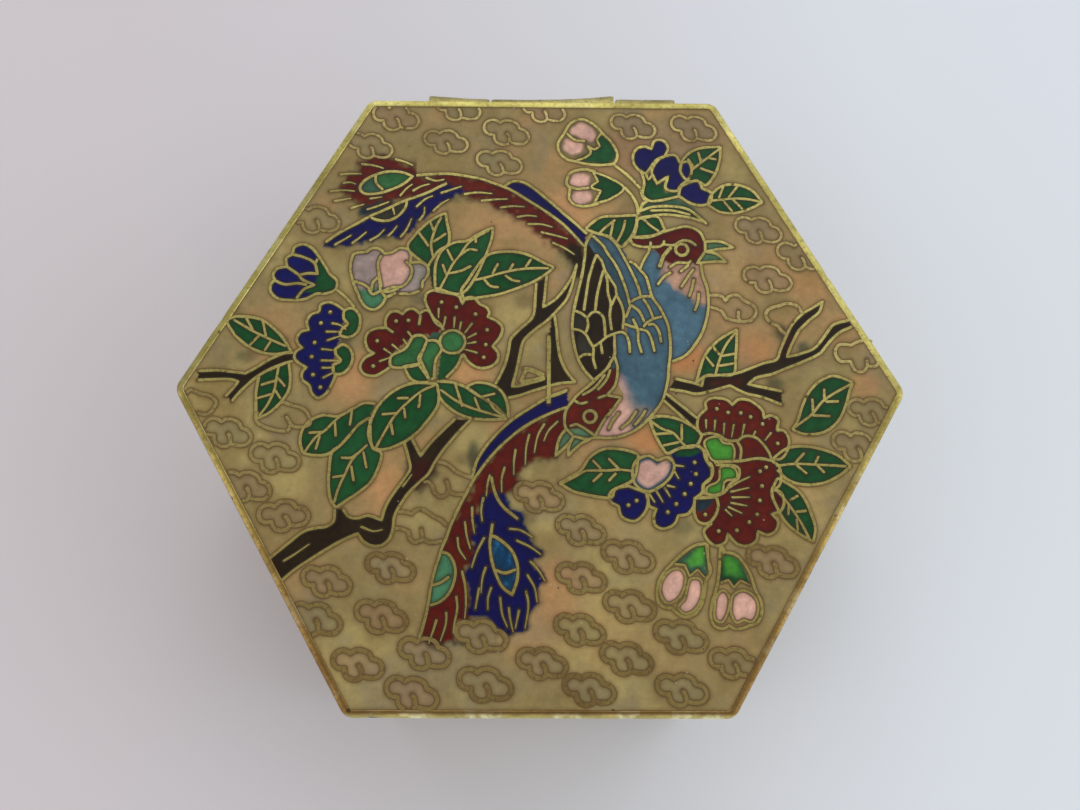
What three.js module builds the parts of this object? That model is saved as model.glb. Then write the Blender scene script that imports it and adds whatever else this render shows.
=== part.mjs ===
// Hexagonal cloisonne enamel box with a hinged lid.
// Millimetres, +Z up. The origin is the centre of the underside, on the surface the box stands on.
// Corners of the hexagon point along +X and -X; the hinge is on the flat side facing +Y.
// Every six-sided piece is a closed profile (inset from the outer flats, height) carried once
// round a hexagon with rounded corners, the way a lathe carries a profile round a circle.
import * as THREE from "three";

// ---- driving dimensions ----
const ACROSS_CORNERS = 82;            // of the sharp hexagon, before its corners are rounded
const APOTHEM = (ACROSS_CORNERS / 2) * Math.cos(Math.PI / 6); // centre to a flat side
const CORNER_RADIUS = 1.6;            // outer vertical corners
const CORNER_STEPS = 4;               // facets round each corner
const BODY_HEIGHT = 31.85;            // underside to the body's top rim
const SEAM = 0.15;                    // gap under the closed lid
const LID_HEIGHT = 6.0;               // lid's lower rim to the border on top
const RIM_HEIGHT = 1.1;               // brass rims: foot, body top, lid bottom
const TOP_RIM_HEIGHT = 0.9;           // brass edge of the lid's top, seen from the side
const BORDER = 0.8;                   // brass border round the picture, seen from above
const FOOT_BORDER = 1.0;              // brass border round the enamel of the underside
const EDGE = 0.18;                    // softened metal edges
const SHEET = 1.03;                   // metal thickness
const WALL = SHEET + 0.57;            // outer face of a rim to the inside of the sheet
const ENAMEL = 0.52;                  // thickness of the outer enamel
const FLUSH = 0.03;                   // how far the stoned enamel lies below the metal
const FIT = 0.02;                     // clearance between enamel and metal
const LINING = 0.3;                   // thickness of the enamel inside
const BASE_ENAMEL = 0.45;             // thickness of the enamel on the underside
const LIP = 1.1;                      // depth of the bare rim above the lining

const HINGE_OFFSET = 2.05;            // hinge axis behind the back wall
const PIN_RADIUS = 0.55;
const BORE_RADIUS = 0.62;
const WING = [0.1, 0.95];             // nearest and furthest height of a knuckle's leaf from the axis
const KNUCKLE_SIDES = 32;
// rolled knuckles, opened a little at their ends: [x, outer radius] along the pin
const KNUCKLE_LEFT = [[-13.9, 1.63], [-11.6, 1.48], [-9.0, 1.34], [-6.5, 1.28]];
const KNUCKLE_LID = [[-6.2, 1.27], [-2.0, 1.25], [2.5, 1.34], [6.0, 1.55], [8.9, 1.8]];
const KNUCKLE_RIGHT = [[9.25, 1.4], [12.5, 1.38], [16.5, 1.41]];

// ---- heights that follow ----
const LID_BOTTOM = BODY_HEIGHT + SEAM;
const LID_TOP = LID_BOTTOM + LID_HEIGHT;
const AXIS_Z = BODY_HEIGHT + SEAM / 2;
const AXIS_Y = APOTHEM + HINGE_OFFSET;
const FLOOR_UNDER = BASE_ENAMEL + FIT;      // metal floor, lower and upper face
const FLOOR_TOP = FLOOR_UNDER + SHEET;
const ROOF_TOP = LID_TOP - ENAMEL;          // metal under the picture, upper and lower face
const ROOF_UNDER = ROOF_TOP - SHEET;

// ---- materials ----
const metal = (hex, roughness) =>
  new THREE.MeshStandardMaterial({ color: hex, metalness: 1, roughness });
const glass = (hex, roughness) =>
  new THREE.MeshStandardMaterial({ color: hex, metalness: 0, roughness });
const BRASS = metal(0xb8a24e, 0.35);
const DARK_BRASS = metal(0x8f7c3f, 0.45);
const CREAM = glass(0xa08c66, 0.35);
const TURQUOISE = glass(0x2f8fa8, 0.3);

// One ring of points: a hexagon at the given inset, its corners rounded.
function hexRing(inset, z) {
  const a = APOTHEM - inset;
  const r = Math.max(CORNER_RADIUS - inset, 0.3);
  const reach = (a - r) / Math.cos(Math.PI / 6);
  const ring = [];
  for (let k = 0; k < 6; k++) {
    const corner = (k * Math.PI) / 3;
    for (let j = 0; j <= CORNER_STEPS; j++) {
      const turn = corner + (j / CORNER_STEPS - 0.5) * (Math.PI / 3);
      ring.push(
        new THREE.Vector3(
          reach * Math.cos(corner) + r * Math.cos(turn),
          reach * Math.sin(corner) + r * Math.sin(turn),
          z
        )
      );
    }
  }
  return ring;
}

// Skin between rings of equal count; a ring of one point is a pole. `closed` joins last to first.
function skin(rings, closed) {
  const points = [];
  const start = rings.map((ring) => {
    const at = points.length;
    points.push(...ring);
    return at;
  });
  const faces = [];
  const bands = closed ? rings.length : rings.length - 1;
  for (let i = 0; i < bands; i++) {
    const lo = rings[i];
    const hi = rings[(i + 1) % rings.length];
    const a = start[i];
    const b = start[(i + 1) % rings.length];
    const n = Math.max(lo.length, hi.length);
    for (let k = 0; k < n; k++) {
      const m = (k + 1) % n;
      if (lo.length === 1) faces.push(a, b + m, b + k);
      else if (hi.length === 1) faces.push(a + k, a + m, b);
      else faces.push(a + k, a + m, b + m, a + k, b + m, b + k);
    }
  }
  const geometry = new THREE.BufferGeometry().setFromPoints(points);
  geometry.setIndex(faces);
  geometry.computeVertexNormals();
  return geometry;
}

// A profile of [inset, z] pairs carried round the hexagon. An inset of null is the centre line.
// Listed so that the solid is on the left going round: up the outside, in over the top, down the inside.
const hexTurn = (profile, closed = false) =>
  skin(
    profile.map(([inset, z]) =>
      inset === null ? [new THREE.Vector3(0, 0, z)] : hexRing(inset, z)
    ),
    closed
  );

// A knuckle: a barrel along X whose leaf runs to the wall, above the axis (side 1) or below it (side -1).
function knuckle(stations, side) {
  const outline = (radius) => {
    const ring = [];
    const near = side * WING[0];
    const far = side * Math.min(WING[1], radius * 0.75);
    const wall = -HINGE_OFFSET + 0.01;
    // where the leaf's two faces leave the barrel
    const a0 = Math.PI - Math.asin(near / radius);
    const a1 = Math.PI - Math.asin(far / radius);
    // start at the near face and go the long way round the barrel to the far face
    const sweep = 2 * Math.PI - Math.abs(a1 - a0);
    const steps = KNUCKLE_SIDES - 3;
    for (let i = 0; i <= steps; i++) {
      const t = side > 0 ? a0 + (i / steps) * sweep : a0 - (i / steps) * sweep;
      ring.push([radius * Math.cos(t), radius * Math.sin(t)]);
    }
    ring.push([wall, far], [wall, near]);
    return side > 0 ? ring : ring.reverse();
  };
  const place = (x, [y, z]) => new THREE.Vector3(x, AXIS_Y + y, AXIS_Z + z);
  const bore = ([y, z]) => {
    const s = BORE_RADIUS / Math.hypot(y, z);
    return [y * s, z * s];
  };
  const outer = stations.map(([x, r]) => outline(r).map((p) => place(x, p)));
  const ends = [stations[stations.length - 1], stations[0]];
  const inner = ends.map(([x, r]) => outline(r).map((p) => place(x, bore(p))));
  return skin([...outer, ...inner], true);
}

// ---- pieces ----
const pieces = {
  body_shell: [
    BRASS,
    hexTurn([
      [null, FLOOR_UNDER],
      [FOOT_BORDER, FLOOR_UNDER],
      [FOOT_BORDER, 0],
      [EDGE, 0],
      [0, EDGE],
      [0, RIM_HEIGHT],
      [ENAMEL + FIT + FLUSH, RIM_HEIGHT],
      [ENAMEL + FIT + FLUSH, BODY_HEIGHT - RIM_HEIGHT],
      [0, BODY_HEIGHT - RIM_HEIGHT],
      [0, BODY_HEIGHT - EDGE],
      [EDGE, BODY_HEIGHT],
      [WALL + LINING, BODY_HEIGHT],
      [WALL + LINING, BODY_HEIGHT - LIP],
      [WALL, BODY_HEIGHT - LIP],
      [WALL, FLOOR_TOP],
      [null, FLOOR_TOP],
    ]),
  ],
  body_enamel_band: [
    CREAM,
    hexTurn(
      [
        [FLUSH, RIM_HEIGHT + FIT],
        [FLUSH, BODY_HEIGHT - RIM_HEIGHT - FIT],
        [FLUSH + ENAMEL, BODY_HEIGHT - RIM_HEIGHT - FIT],
        [FLUSH + ENAMEL, RIM_HEIGHT + FIT],
      ],
      true
    ),
  ],
  body_enamel_base: [
    TURQUOISE,
    hexTurn([
      [null, 0],
      [FOOT_BORDER + FIT, 0],
      [FOOT_BORDER + FIT, BASE_ENAMEL],
      [null, BASE_ENAMEL],
    ]),
  ],
  body_lining: [
    TURQUOISE,
    hexTurn([
      [null, FLOOR_TOP + FIT],
      [WALL + FIT, FLOOR_TOP + FIT],
      [WALL + FIT, BODY_HEIGHT - LIP - FIT],
      [WALL + LINING, BODY_HEIGHT - LIP - FIT],
      [WALL + LINING, FLOOR_TOP + LINING + 0.5],
      [WALL + LINING + 0.5, FLOOR_TOP + LINING],
      [null, FLOOR_TOP + LINING],
    ]),
  ],
  lid_shell: [
    BRASS,
    hexTurn([
      [null, ROOF_UNDER],
      [WALL, ROOF_UNDER],
      [WALL, LID_BOTTOM + LIP],
      [WALL + LINING, LID_BOTTOM + LIP],
      [WALL + LINING, LID_BOTTOM],
      [EDGE, LID_BOTTOM],
      [0, LID_BOTTOM + EDGE],
      [0, LID_BOTTOM + RIM_HEIGHT],
      [ENAMEL + FIT + FLUSH, LID_BOTTOM + RIM_HEIGHT],
      [ENAMEL + FIT + FLUSH, LID_TOP - TOP_RIM_HEIGHT],
      [0, LID_TOP - TOP_RIM_HEIGHT],
      [0, LID_TOP - EDGE],
      [EDGE, LID_TOP],
      [BORDER, LID_TOP],
      [BORDER, ROOF_TOP],
      [null, ROOF_TOP],
    ]),
  ],
  lid_enamel_band: [
    CREAM,
    hexTurn(
      [
        [FLUSH, LID_BOTTOM + RIM_HEIGHT + FIT],
        [FLUSH, LID_TOP - TOP_RIM_HEIGHT - FIT],
        [FLUSH + ENAMEL, LID_TOP - TOP_RIM_HEIGHT - FIT],
        [FLUSH + ENAMEL, LID_BOTTOM + RIM_HEIGHT + FIT],
      ],
      true
    ),
  ],
  lid_enamel_top: [
    CREAM,
    hexTurn([
      [null, ROOF_TOP + FIT],
      [BORDER + FIT, ROOF_TOP + FIT],
      [BORDER + FIT, LID_TOP - FLUSH],
      [null, LID_TOP - FLUSH],
    ]),
  ],
  lid_lining: [
    TURQUOISE,
    hexTurn([
      [null, ROOF_UNDER - LINING],
      [WALL + LINING + 0.5, ROOF_UNDER - LINING],
      [WALL + LINING, ROOF_UNDER - LINING - 0.5],
      [WALL + LINING, LID_BOTTOM + LIP + FIT],
      [WALL + FIT, LID_BOTTOM + LIP + FIT],
      [WALL + FIT, ROOF_UNDER - FIT],
      [null, ROOF_UNDER - FIT],
    ]),
  ],
  hinge_knuckle_left: [DARK_BRASS, knuckle(KNUCKLE_LEFT, -1)],
  hinge_knuckle_lid: [DARK_BRASS, knuckle(KNUCKLE_LID, 1)],
  hinge_knuckle_right: [DARK_BRASS, knuckle(KNUCKLE_RIGHT, -1)],
};

// the pin, with lightly domed ends
const pinFrom = KNUCKLE_LEFT[0][0] - 0.35;
const pinTo = KNUCKLE_RIGHT[KNUCKLE_RIGHT.length - 1][0] + 0.35;
const pinProfile = [
  [0, 0],
  [PIN_RADIUS * 0.8, 0.04],
  [PIN_RADIUS, 0.2],
  [PIN_RADIUS, pinTo - pinFrom - 0.2],
  [PIN_RADIUS * 0.8, pinTo - pinFrom - 0.04],
  [0, pinTo - pinFrom],
].map(([r, t]) => new THREE.Vector2(r, t));
pieces.hinge_pin = [
  BRASS,
  new THREE.LatheGeometry(pinProfile, 24).rotateZ(-Math.PI / 2).translate(pinFrom, AXIS_Y, AXIS_Z),
];

const box = new THREE.Group();
for (const [name, [material, geometry]] of Object.entries(pieces)) {
  const mesh = new THREE.Mesh(geometry, material);
  mesh.name = name;
  box.add(mesh);
}

export default box;
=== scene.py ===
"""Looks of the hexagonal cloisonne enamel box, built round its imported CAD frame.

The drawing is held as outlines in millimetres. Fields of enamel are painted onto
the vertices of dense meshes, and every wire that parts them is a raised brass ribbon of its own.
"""

import math

import bpy
import numpy as np
from mathutils import Matrix, Vector


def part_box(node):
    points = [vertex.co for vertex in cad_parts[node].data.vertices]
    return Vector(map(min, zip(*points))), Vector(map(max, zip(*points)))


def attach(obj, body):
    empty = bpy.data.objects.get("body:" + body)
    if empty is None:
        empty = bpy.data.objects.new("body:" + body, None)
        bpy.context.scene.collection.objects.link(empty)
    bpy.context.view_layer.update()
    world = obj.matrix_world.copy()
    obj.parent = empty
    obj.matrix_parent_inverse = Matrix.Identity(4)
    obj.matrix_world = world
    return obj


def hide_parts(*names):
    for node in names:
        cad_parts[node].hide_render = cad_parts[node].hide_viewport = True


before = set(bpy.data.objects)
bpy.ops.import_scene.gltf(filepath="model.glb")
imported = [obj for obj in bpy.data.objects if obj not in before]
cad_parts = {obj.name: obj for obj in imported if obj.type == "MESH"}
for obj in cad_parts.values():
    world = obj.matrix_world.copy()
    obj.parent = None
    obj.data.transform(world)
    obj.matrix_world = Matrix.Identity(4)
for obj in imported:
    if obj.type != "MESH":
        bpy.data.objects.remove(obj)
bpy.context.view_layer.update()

# ---------------------------------------------------------------- drawing kit (millimetres)
def resample(P, step):
    """Points spaced about `step` along a line, its two ends kept."""
    P = np.asarray(P, float)
    d = np.r_[0, np.cumsum(np.hypot(*np.diff(P, axis=0).T))]
    n = max(int(math.ceil(d[-1] / step)), 1)
    s = np.linspace(0, d[-1], n + 1)
    return np.stack([np.interp(s, d, P[:, 0]), np.interp(s, d, P[:, 1])], 1)


def smooth_run(P, closed=False):
    """A smooth curve through the points."""
    P = np.asarray(P, float)
    if len(P) < 3 and not closed:
        return P
    Q = np.vstack([P[-1], P, P[0], P[1]]) if closed else np.vstack([2 * P[0] - P[1], P, 2 * P[-1] - P[-2]])
    out = []
    for i in range(1, len(Q) - 2):
        p0, p1, p2, p3 = Q[i - 1], Q[i], Q[i + 1], Q[i + 2]
        a = max(math.hypot(*(p1 - p0)), 1e-4) ** 0.5
        b = max(math.hypot(*(p2 - p1)), 1e-4) ** 0.5
        c = max(math.hypot(*(p3 - p2)), 1e-4) ** 0.5
        m1 = (p2 - p1) + b * ((p1 - p0) / a - (p2 - p0) / (a + b))
        m2 = (p2 - p1) + b * ((p3 - p2) / c - (p3 - p1) / (b + c))
        n = max(int(b * b / 0.12), 3)
        t = np.linspace(0, 1, n, endpoint=False)[:, None]
        out.append((2 * t**3 - 3 * t**2 + 1) * p1 + (t**3 - 2 * t**2 + t) * m1 + (3 * t**2 - 2 * t**3) * p2 + (t**3 - t**2) * m2)
    out.append(Q[-2][None] if not closed else P[:1])
    return np.vstack(out)


def line(pts, closed=False, step=0.22):
    """A curve through points; a point with a third value is a sharp corner."""
    corners = [i for i, p in enumerate(pts) if len(p) > 2]
    P = [tuple(p[:2]) for p in pts]
    if closed and not corners:
        return resample(smooth_run(P, True), step)
    if closed:
        k = corners[0]
        P = P[k:] + P[:k] + [P[k]]
        corners = [(i - k) % len(pts) for i in corners] + [len(P) - 1]
    cuts = sorted(set([0] + corners + [len(P) - 1]))
    out = []
    for a, b in zip(cuts[:-1], cuts[1:]):
        out.append(resample(smooth_run(P[a : b + 1]), step)[:-1])
    out.append(np.array([P[-1]]))
    return np.vstack(out)


class Sheet:
    """One enamelled face: fields of colour, and the wires that part them."""

    def __init__(self):
        self.fields, self.wires, self.studs = [], [], []
        self.kind = "ground"

    def fill(self, colour, pts, soft=0.0, rag=0.0, clip=None):
        """A field of colour; soft and rag blur and fray its edge, and clip keeps it in one outline."""
        self.fields.append((colour, line(pts, True), soft, rag, line(clip, True) if clip else None))

    def wire(self, pts, w=1.0, closed=False):
        self.wires.append((line(pts, closed), w, closed, self.kind))

    def cell(self, colour, pts, w=1.0):
        self.fill(colour, pts)
        self.wire(pts, w, True)

    def ticks(self, rows, w=0.78):
        for r in rows:
            self.wire(r, w)

    def dots(self, rows, r=0.24):
        for x, y in rows:
            self.studs.append((x, y, r, self.kind))

    def cloud(self, x, y, size=1.0, turn=-6.0, flip=1, colour=None, keep=None):
        """A cloud: four lobes drawn with one wire that curls in at the foot."""
        c, s = math.cos(math.radians(turn)), math.sin(math.radians(turn))

        def put(px, py):
            px *= flip
            py *= 0.88
            return (x + 0.92 * size * (c * px - s * py), y + 0.92 * size * (s * px + c * py))

        curl = [(0.05, -0.15), (0.3, -0.4), (0.48, -0.9), (0.62, -1.5)]
        lobes = [
            [(0.62, -1.5), (1.5, -1.62), (2.5, -1.35), (2.92, -0.4), (2.4, 0.55), (1.55, 0.82)],
            [(1.55, 0.82), (1.15, 1.5), (0.2, 1.85), (-0.6, 1.68), (-0.98, 1.3)],
            [(-0.98, 1.3), (-1.5, 1.6), (-2.2, 1.58), (-2.85, 0.95), (-2.85, -0.05), (-2.25, -0.68), (-1.5, -0.66)],
            [(-1.5, -0.66), (-1.4, -1.3), (-1.1, -1.75), (-0.35, -2.05), (0.3, -1.9), (0.62, -1.5)],
        ]
        pts = [put(*p) for p in curl[:-1]] + [put(*curl[-1]) + (1,)]
        for lobe in lobes:
            pts += [put(*p) for p in lobe[1:-1]] + [put(*lobe[-1]) + (1,)]
        shape = [put(*p) + ((1,) if i == 0 else ()) for lobe in lobes for i, p in enumerate(lobe[:-1])]
        if colour:
            self.fill(colour, shape)
        if keep:
            ln = line(pts)
            ok = np.array([keep(px, py) for px, py in ln])
            a = 0
            for k in range(1, len(ln) + 1):
                if k == len(ln) or ok[k] != ok[a]:
                    if ok[a] and k - a > 2:
                        self.wires.append((ln[a:k], 1.02 + 0.38 * float(np.clip((4 - y) / 20, 0, 1)), False, self.kind))
                    a = k
        else:
            self.wire(pts, 1.0)


def inside(P, x, y):
    """Even-odd test of many points against one outline."""
    odd = np.zeros(x.shape, bool)
    x0, y0 = P[-1]
    for x1, y1 in P:
        if y0 != y1:
            cross = (y0 > y) != (y1 > y)
            odd ^= cross & (x < (x1 - x0) * (y - y0) / (y1 - y0) + x0)
        x0, y0 = x1, y1
    return odd


def away(P, x, y, closed=True):
    """Distance of many points from one line."""
    best = np.full(x.shape, 1e9)
    Q = np.vstack([P, P[:1]]) if closed else P
    for (x0, y0), (x1, y1) in zip(Q[:-1], Q[1:]):
        dx, dy = x1 - x0, y1 - y0
        t = np.clip(((x - x0) * dx + (y - y0) * dy) / max(dx * dx + dy * dy, 1e-9), 0, 1)
        best = np.minimum(best, (x - x0 - t * dx) ** 2 + (y - y0 - t * dy) ** 2)
    return np.sqrt(best)


_lattices = {}


def value_noise(x, y, seed):
    """Smooth noise from -1 to 1, one lattice cell per unit."""
    if seed not in _lattices:
        _lattices[seed] = np.random.default_rng(seed).uniform(-1, 1, (256, 256))
    L = _lattices[seed]
    i, j = np.floor(x).astype(int), np.floor(y).astype(int)
    u, v = x - i, y - j
    u, v = u * u * (3 - 2 * u), v * v * (3 - 2 * v)
    a, b = L[i & 255, j & 255], L[(i + 1) & 255, j & 255]
    c, d = L[i & 255, (j + 1) & 255], L[(i + 1) & 255, (j + 1) & 255]
    return (a * (1 - u) + b * u) * (1 - v) + (c * (1 - u) + d * u) * v


def fbm(x, y, size, seed, octaves=3):
    out, amp, tot = 0.0, 1.0, 0.0
    for k in range(octaves):
        f = 2.0**k / size
        out = out + amp * value_noise(x * f + 17.3 * k + 64, y * f + 9.1 * k + 64, seed + k)
        tot += amp
        amp *= 0.5
    return out / tot


def step01(a, b, t):
    t = np.clip((t - a) / (b - a), 0, 1)
    return t * t * (3 - 2 * t)
PALETTE = {
    "ground": (143, 127, 87), "cloud": (140, 124, 92), "peach": (188, 142, 98), "orange": (184, 128, 82), "lemon": (168, 152, 100), "smudge": (92, 78, 56), "grey": (132, 124, 104), "olive": (134, 116, 74),
    "leaf": (38, 79, 48), "bright": (74, 142, 58), "sage": (60, 92, 74), "bark": (48, 41, 32), "jade": (70, 118, 88), "rust": (64, 38, 30), "dust": (132, 120, 110), "red": (92, 38, 30), "cobalt": (2, 32, 84), "steel": (74, 102, 118), "teal": (34, 72, 106),
    "deep": (44, 56, 64), "pink": (202, 162, 148), "blush": (158, 142, 138), "mist": (138, 132, 126), "slate": (62, 84, 94), "rose": (184, 148, 124), "soot": (58, 58, 50), "fern": (58, 106, 64), "moss": (50, 66, 54), "clay": (140, 108, 82), "beak": (84, 116, 88),
}
NAMES = list(PALETTE)


def linear(c):
    c = np.asarray(c, float) / 255
    return np.where(c <= 0.04045, c / 12.92, ((c + 0.055) / 1.055) ** 2.4)


def paint(sheet, x, y, tints=(), seed=11):
    """Colour of each point of an enamelled face, and its distance from the nearest wire."""
    base = linear(PALETTE["ground"])
    col = np.tile(base, (x.size, 1))
    mott = fbm(x, y, 7.0, seed, 4)
    warm = fbm(x, y, 3.4, seed + 20, 3)
    for name, m in (("peach", step01(0.05, 0.5, mott) * np.where(y < -8, 0.25, 0.4)), ("lemon", step01(0.0, 0.45, -mott) * 0.7), ("olive", step01(0.05, 0.55, warm) * 0.5), ("grey", step01(0.08, 0.55, -warm) * 0.4)):
        col += (linear(PALETTE[name]) - col) * m[:, None]
    for tx, ty, rx, ry, k, name in tints:
        d = np.hypot((x - tx) / rx, (y - ty) / ry) + 0.25 * warm
        m = k * (1 - step01(0.25, 1.15, d))
        col += (linear(PALETTE[name]) - col) * m[:, None]
    ground = col.copy()
    kind = np.zeros(x.size)
    fray = fbm(x, y, 0.9, seed + 40, 3)
    blur = fbm(x, y, 2.2, seed + 60, 2)
    rng = np.random.default_rng(seed)
    for name, P, soft, rag, clip in sheet.fields:
        lo, hi = P.min(0) - 1.2, P.max(0) + 1.2
        near = np.nonzero((x > lo[0]) & (x < hi[0]) & (y > lo[1]) & (y < hi[1]))[0]
        tone = 1 + rng.uniform(-0.1, 0.1)
        if not near.size:
            continue
        px, py = x[near], y[near]
        w = inside(P, px, py).astype(float)
        if soft or rag:
            sd = away(P, px, py) * np.where(w > 0.5, 1, -1) + rag * 1.6 * fray[near]
            w = step01(-max(soft, 0.06), max(soft, 0.06), sd)
            if rag and soft > 0.12:  # where wet powders met, a dark haze fringes the colour
                haze = 0.55 * step01(-soft - 0.5, 0.1, sd)
                if clip is not None:
                    haze = haze * inside(clip, px, py)
                haze = haze * (1 - kind[near])
                col[near] *= 1 - haze[:, None] * np.array([0.75, 0.62, 0.55])
            if clip is not None:
                w *= inside(clip, px, py)
        if name in ("ground", "cloud"):
            src = ground[near]
            if name == "cloud":
                src = (0.4 * src + 0.6 * linear(PALETTE["cloud"])) * (1 + rng.uniform(-0.09, 0.05)) * (1 + 0.05 * rng.uniform(-1, 1, 3))
            k = 0.0
        else:
            src = linear(PALETTE[name]) * tone * (1 + 0.16 * blur[near])[:, None]
            k = 1.0
        if name == "teal":  # a sparkling mixed frit in the feather's eye
            src = src * (0.75 + 1.5 * step01(0.1, 0.5, fray[near]))[:, None]
        col[near] += (src - col[near]) * w[:, None]
        kind[near] += (k - kind[near]) * w
    wd = np.full(x.size, 1.0)
    for P, width, closed, _ in sheet.wires:
        for a in range(0, len(P) - 1, 16):
            Q = P[a : a + 17]
            lo, hi = Q.min(0) - 1.0, Q.max(0) + 1.0
            near = np.nonzero((x > lo[0]) & (x < hi[0]) & (y > lo[1]) & (y < hi[1]))[0]
            if near.size:
                wd[near] = np.minimum(wd[near], away(Q, x[near], y[near], False) + 0.17 * (1 - width))
    for sx, sy, r, _ in sheet.studs:
        near = np.nonzero((abs(x - sx) < 1.3) & (abs(y - sy) < 1.3))[0]
        wd[near] = np.minimum(wd[near], np.maximum(np.hypot(x[near] - sx, y[near] - sy) - r + 0.17, 0))
    return col, wd, kind
# ---------------------------------------------------------------- the lid's picture (x right, y back, millimetres)
def T(text):
    """Points written x,y; a trailing c marks a sharp corner."""
    out = []
    for word in text.split():
        sharp = word.endswith("c")
        x, y = word.rstrip("c").split(",")
        out.append((float(x), float(y), 1) if sharp else (float(x), float(y)))
    return out


def ring(*runs):
    """One outline from several runs, with a corner wherever two meet."""
    out = []
    for r in runs:
        r = list(r)
        for i, p in enumerate(r):
            end = i in (0, len(r) - 1)
            if out and math.hypot(p[0] - out[-1][0], p[1] - out[-1][1]) < 1e-3:
                out[-1] = tuple(out[-1][:2]) + (1,)
                continue
            out.append(tuple(p[:2]) + (1,) if end else p)
    return out


def rev(points):
    return list(points)[::-1]


def clouds(S):
    S.kind = "clouds"
    rim = 34.62

    def keep(x, y):
        return all(x * math.cos(a) + y * math.sin(a) < rim for a in [math.radians(30 + 60 * k) for k in range(6)])

    rows = """-17.3,33.3 -10,34.6 .2,34.4 -20.2,29.6 -11.3,30.2 -4.2,31.5 -5,27.6 -26.2,20.3 10.8,32.4 18,32.2
    25.2,19.4 30,16.2 26,13.4 37,-2.2 35.2,-6.2 25.2,-19 -.2,-12 4.4,-15.6 9.5,-18.5 4.4,-20.8 9.6,-23.8 4.2,-26.3
    15,-27 9.2,-29.3 20.6,-29.7 .2,-29.8 5.2,-32.5 15,-32.5 -34.7,-5 -29.3,-7.8 -32.3,-11 -23,-21.3 -16.2,-19.8
    -17,-25 -24,-25.3 -19.3,-30 -12.3,-28.8 -6.3,-27 -5.8,-32 -13.5,-33"""
    rng = np.random.default_rng(5)
    for x, y in T(rows):
        S.cloud(x, y, rng.uniform(0.95, 1.05), rng.uniform(-9, -3), colour="cloud", keep=keep)
    S.cloud(-28, -14.2, 1.0, 8, colour="cloud", keep=keep)
    parts = (
        "19.15,11.4 20.6,11.25 21.05,10.7c 21.5,11.25 22.4,11.4 23.25,10.7c 24.3,10.1 24.5,9.2 23.85,8.35c 22.8,8.25 22.5,8.6 22.5,9.5",
        "22.8,8.25 21.95,8.35 21.05,8.6c 20.5,9.5 19.3,9.95",
        "29.85,9.2 29.3,10.1 28.1,10.45 26.95,10.1c 26.05,9.8 25.6,9.05 26.05,8.2 26.95,7.75c 27.35,7.15 27.95,6.7",
        "37.6,6 36.9,6.1 35.9,5.9 35.15,5.55c 33.8,5.55 33.3,4.65 33.8,3.65 35,3.65c 35.45,2.6 36.3,2.4 36.9,3.05c 36.85,3.8",
        "36.9,3.05 37.8,3.1 38.2,3.5",
        "-39.5,-.55 -39.15,-.2 -38.15,-.6c -36.9,-.9 -36.15,-1.6 -36.6,-2.6c -37.3,-3 -38.15,-2.8",
        "-28.95,-1.5 -27.65,-1.9c -26.5,-2.3 -25.8,-3.15 -25.65,-4 -26.2,-4.3 -27.5,-4.3 -27.8,-4 -28.35,-3.15",
        "-27.8,-4.1 -28,-4.7 -28.65,-4.85 -30.2,-4.55c -31.35,-4 -31.75,-3.15 -31.5,-2.6",
        "-11.4,-8.2 -10.5,-8.4 -9.8,-8.9c -9.3,-9.3 -8.4,-9.7 -7.5,-10",
        "-12.9,-10.5 -12.4,-10.4 -11.9,-10.9c -11.7,-11.6 -11,-12.1 -10.4,-11.9 -10.1,-11.4c -10.2,-10.8 -10.4,-10.3",
        "-10.1,-11.5c -9.3,-11.8 -8.3,-11.8",
        "-15.6,-13.8 -14.8,-13.8 -14.1,-14c -13.7,-13.6 -13,-13.5 -12.2,-13.9c -11.6,-14.3 -10.8,-14.7 -10.3,-15.2",
        "-16.1,-15.6 -15.2,-15.6 -14.4,-15.9c -14.2,-16.7 -13.6,-17.1 -12.8,-16.8c -12.9,-16.1 -13,-15.6",
        "-12.8,-16.8c -11.8,-17.1 -10.7,-16.9",
    )
    for p in parts:
        S.wire(T(p), 1.15)


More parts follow.
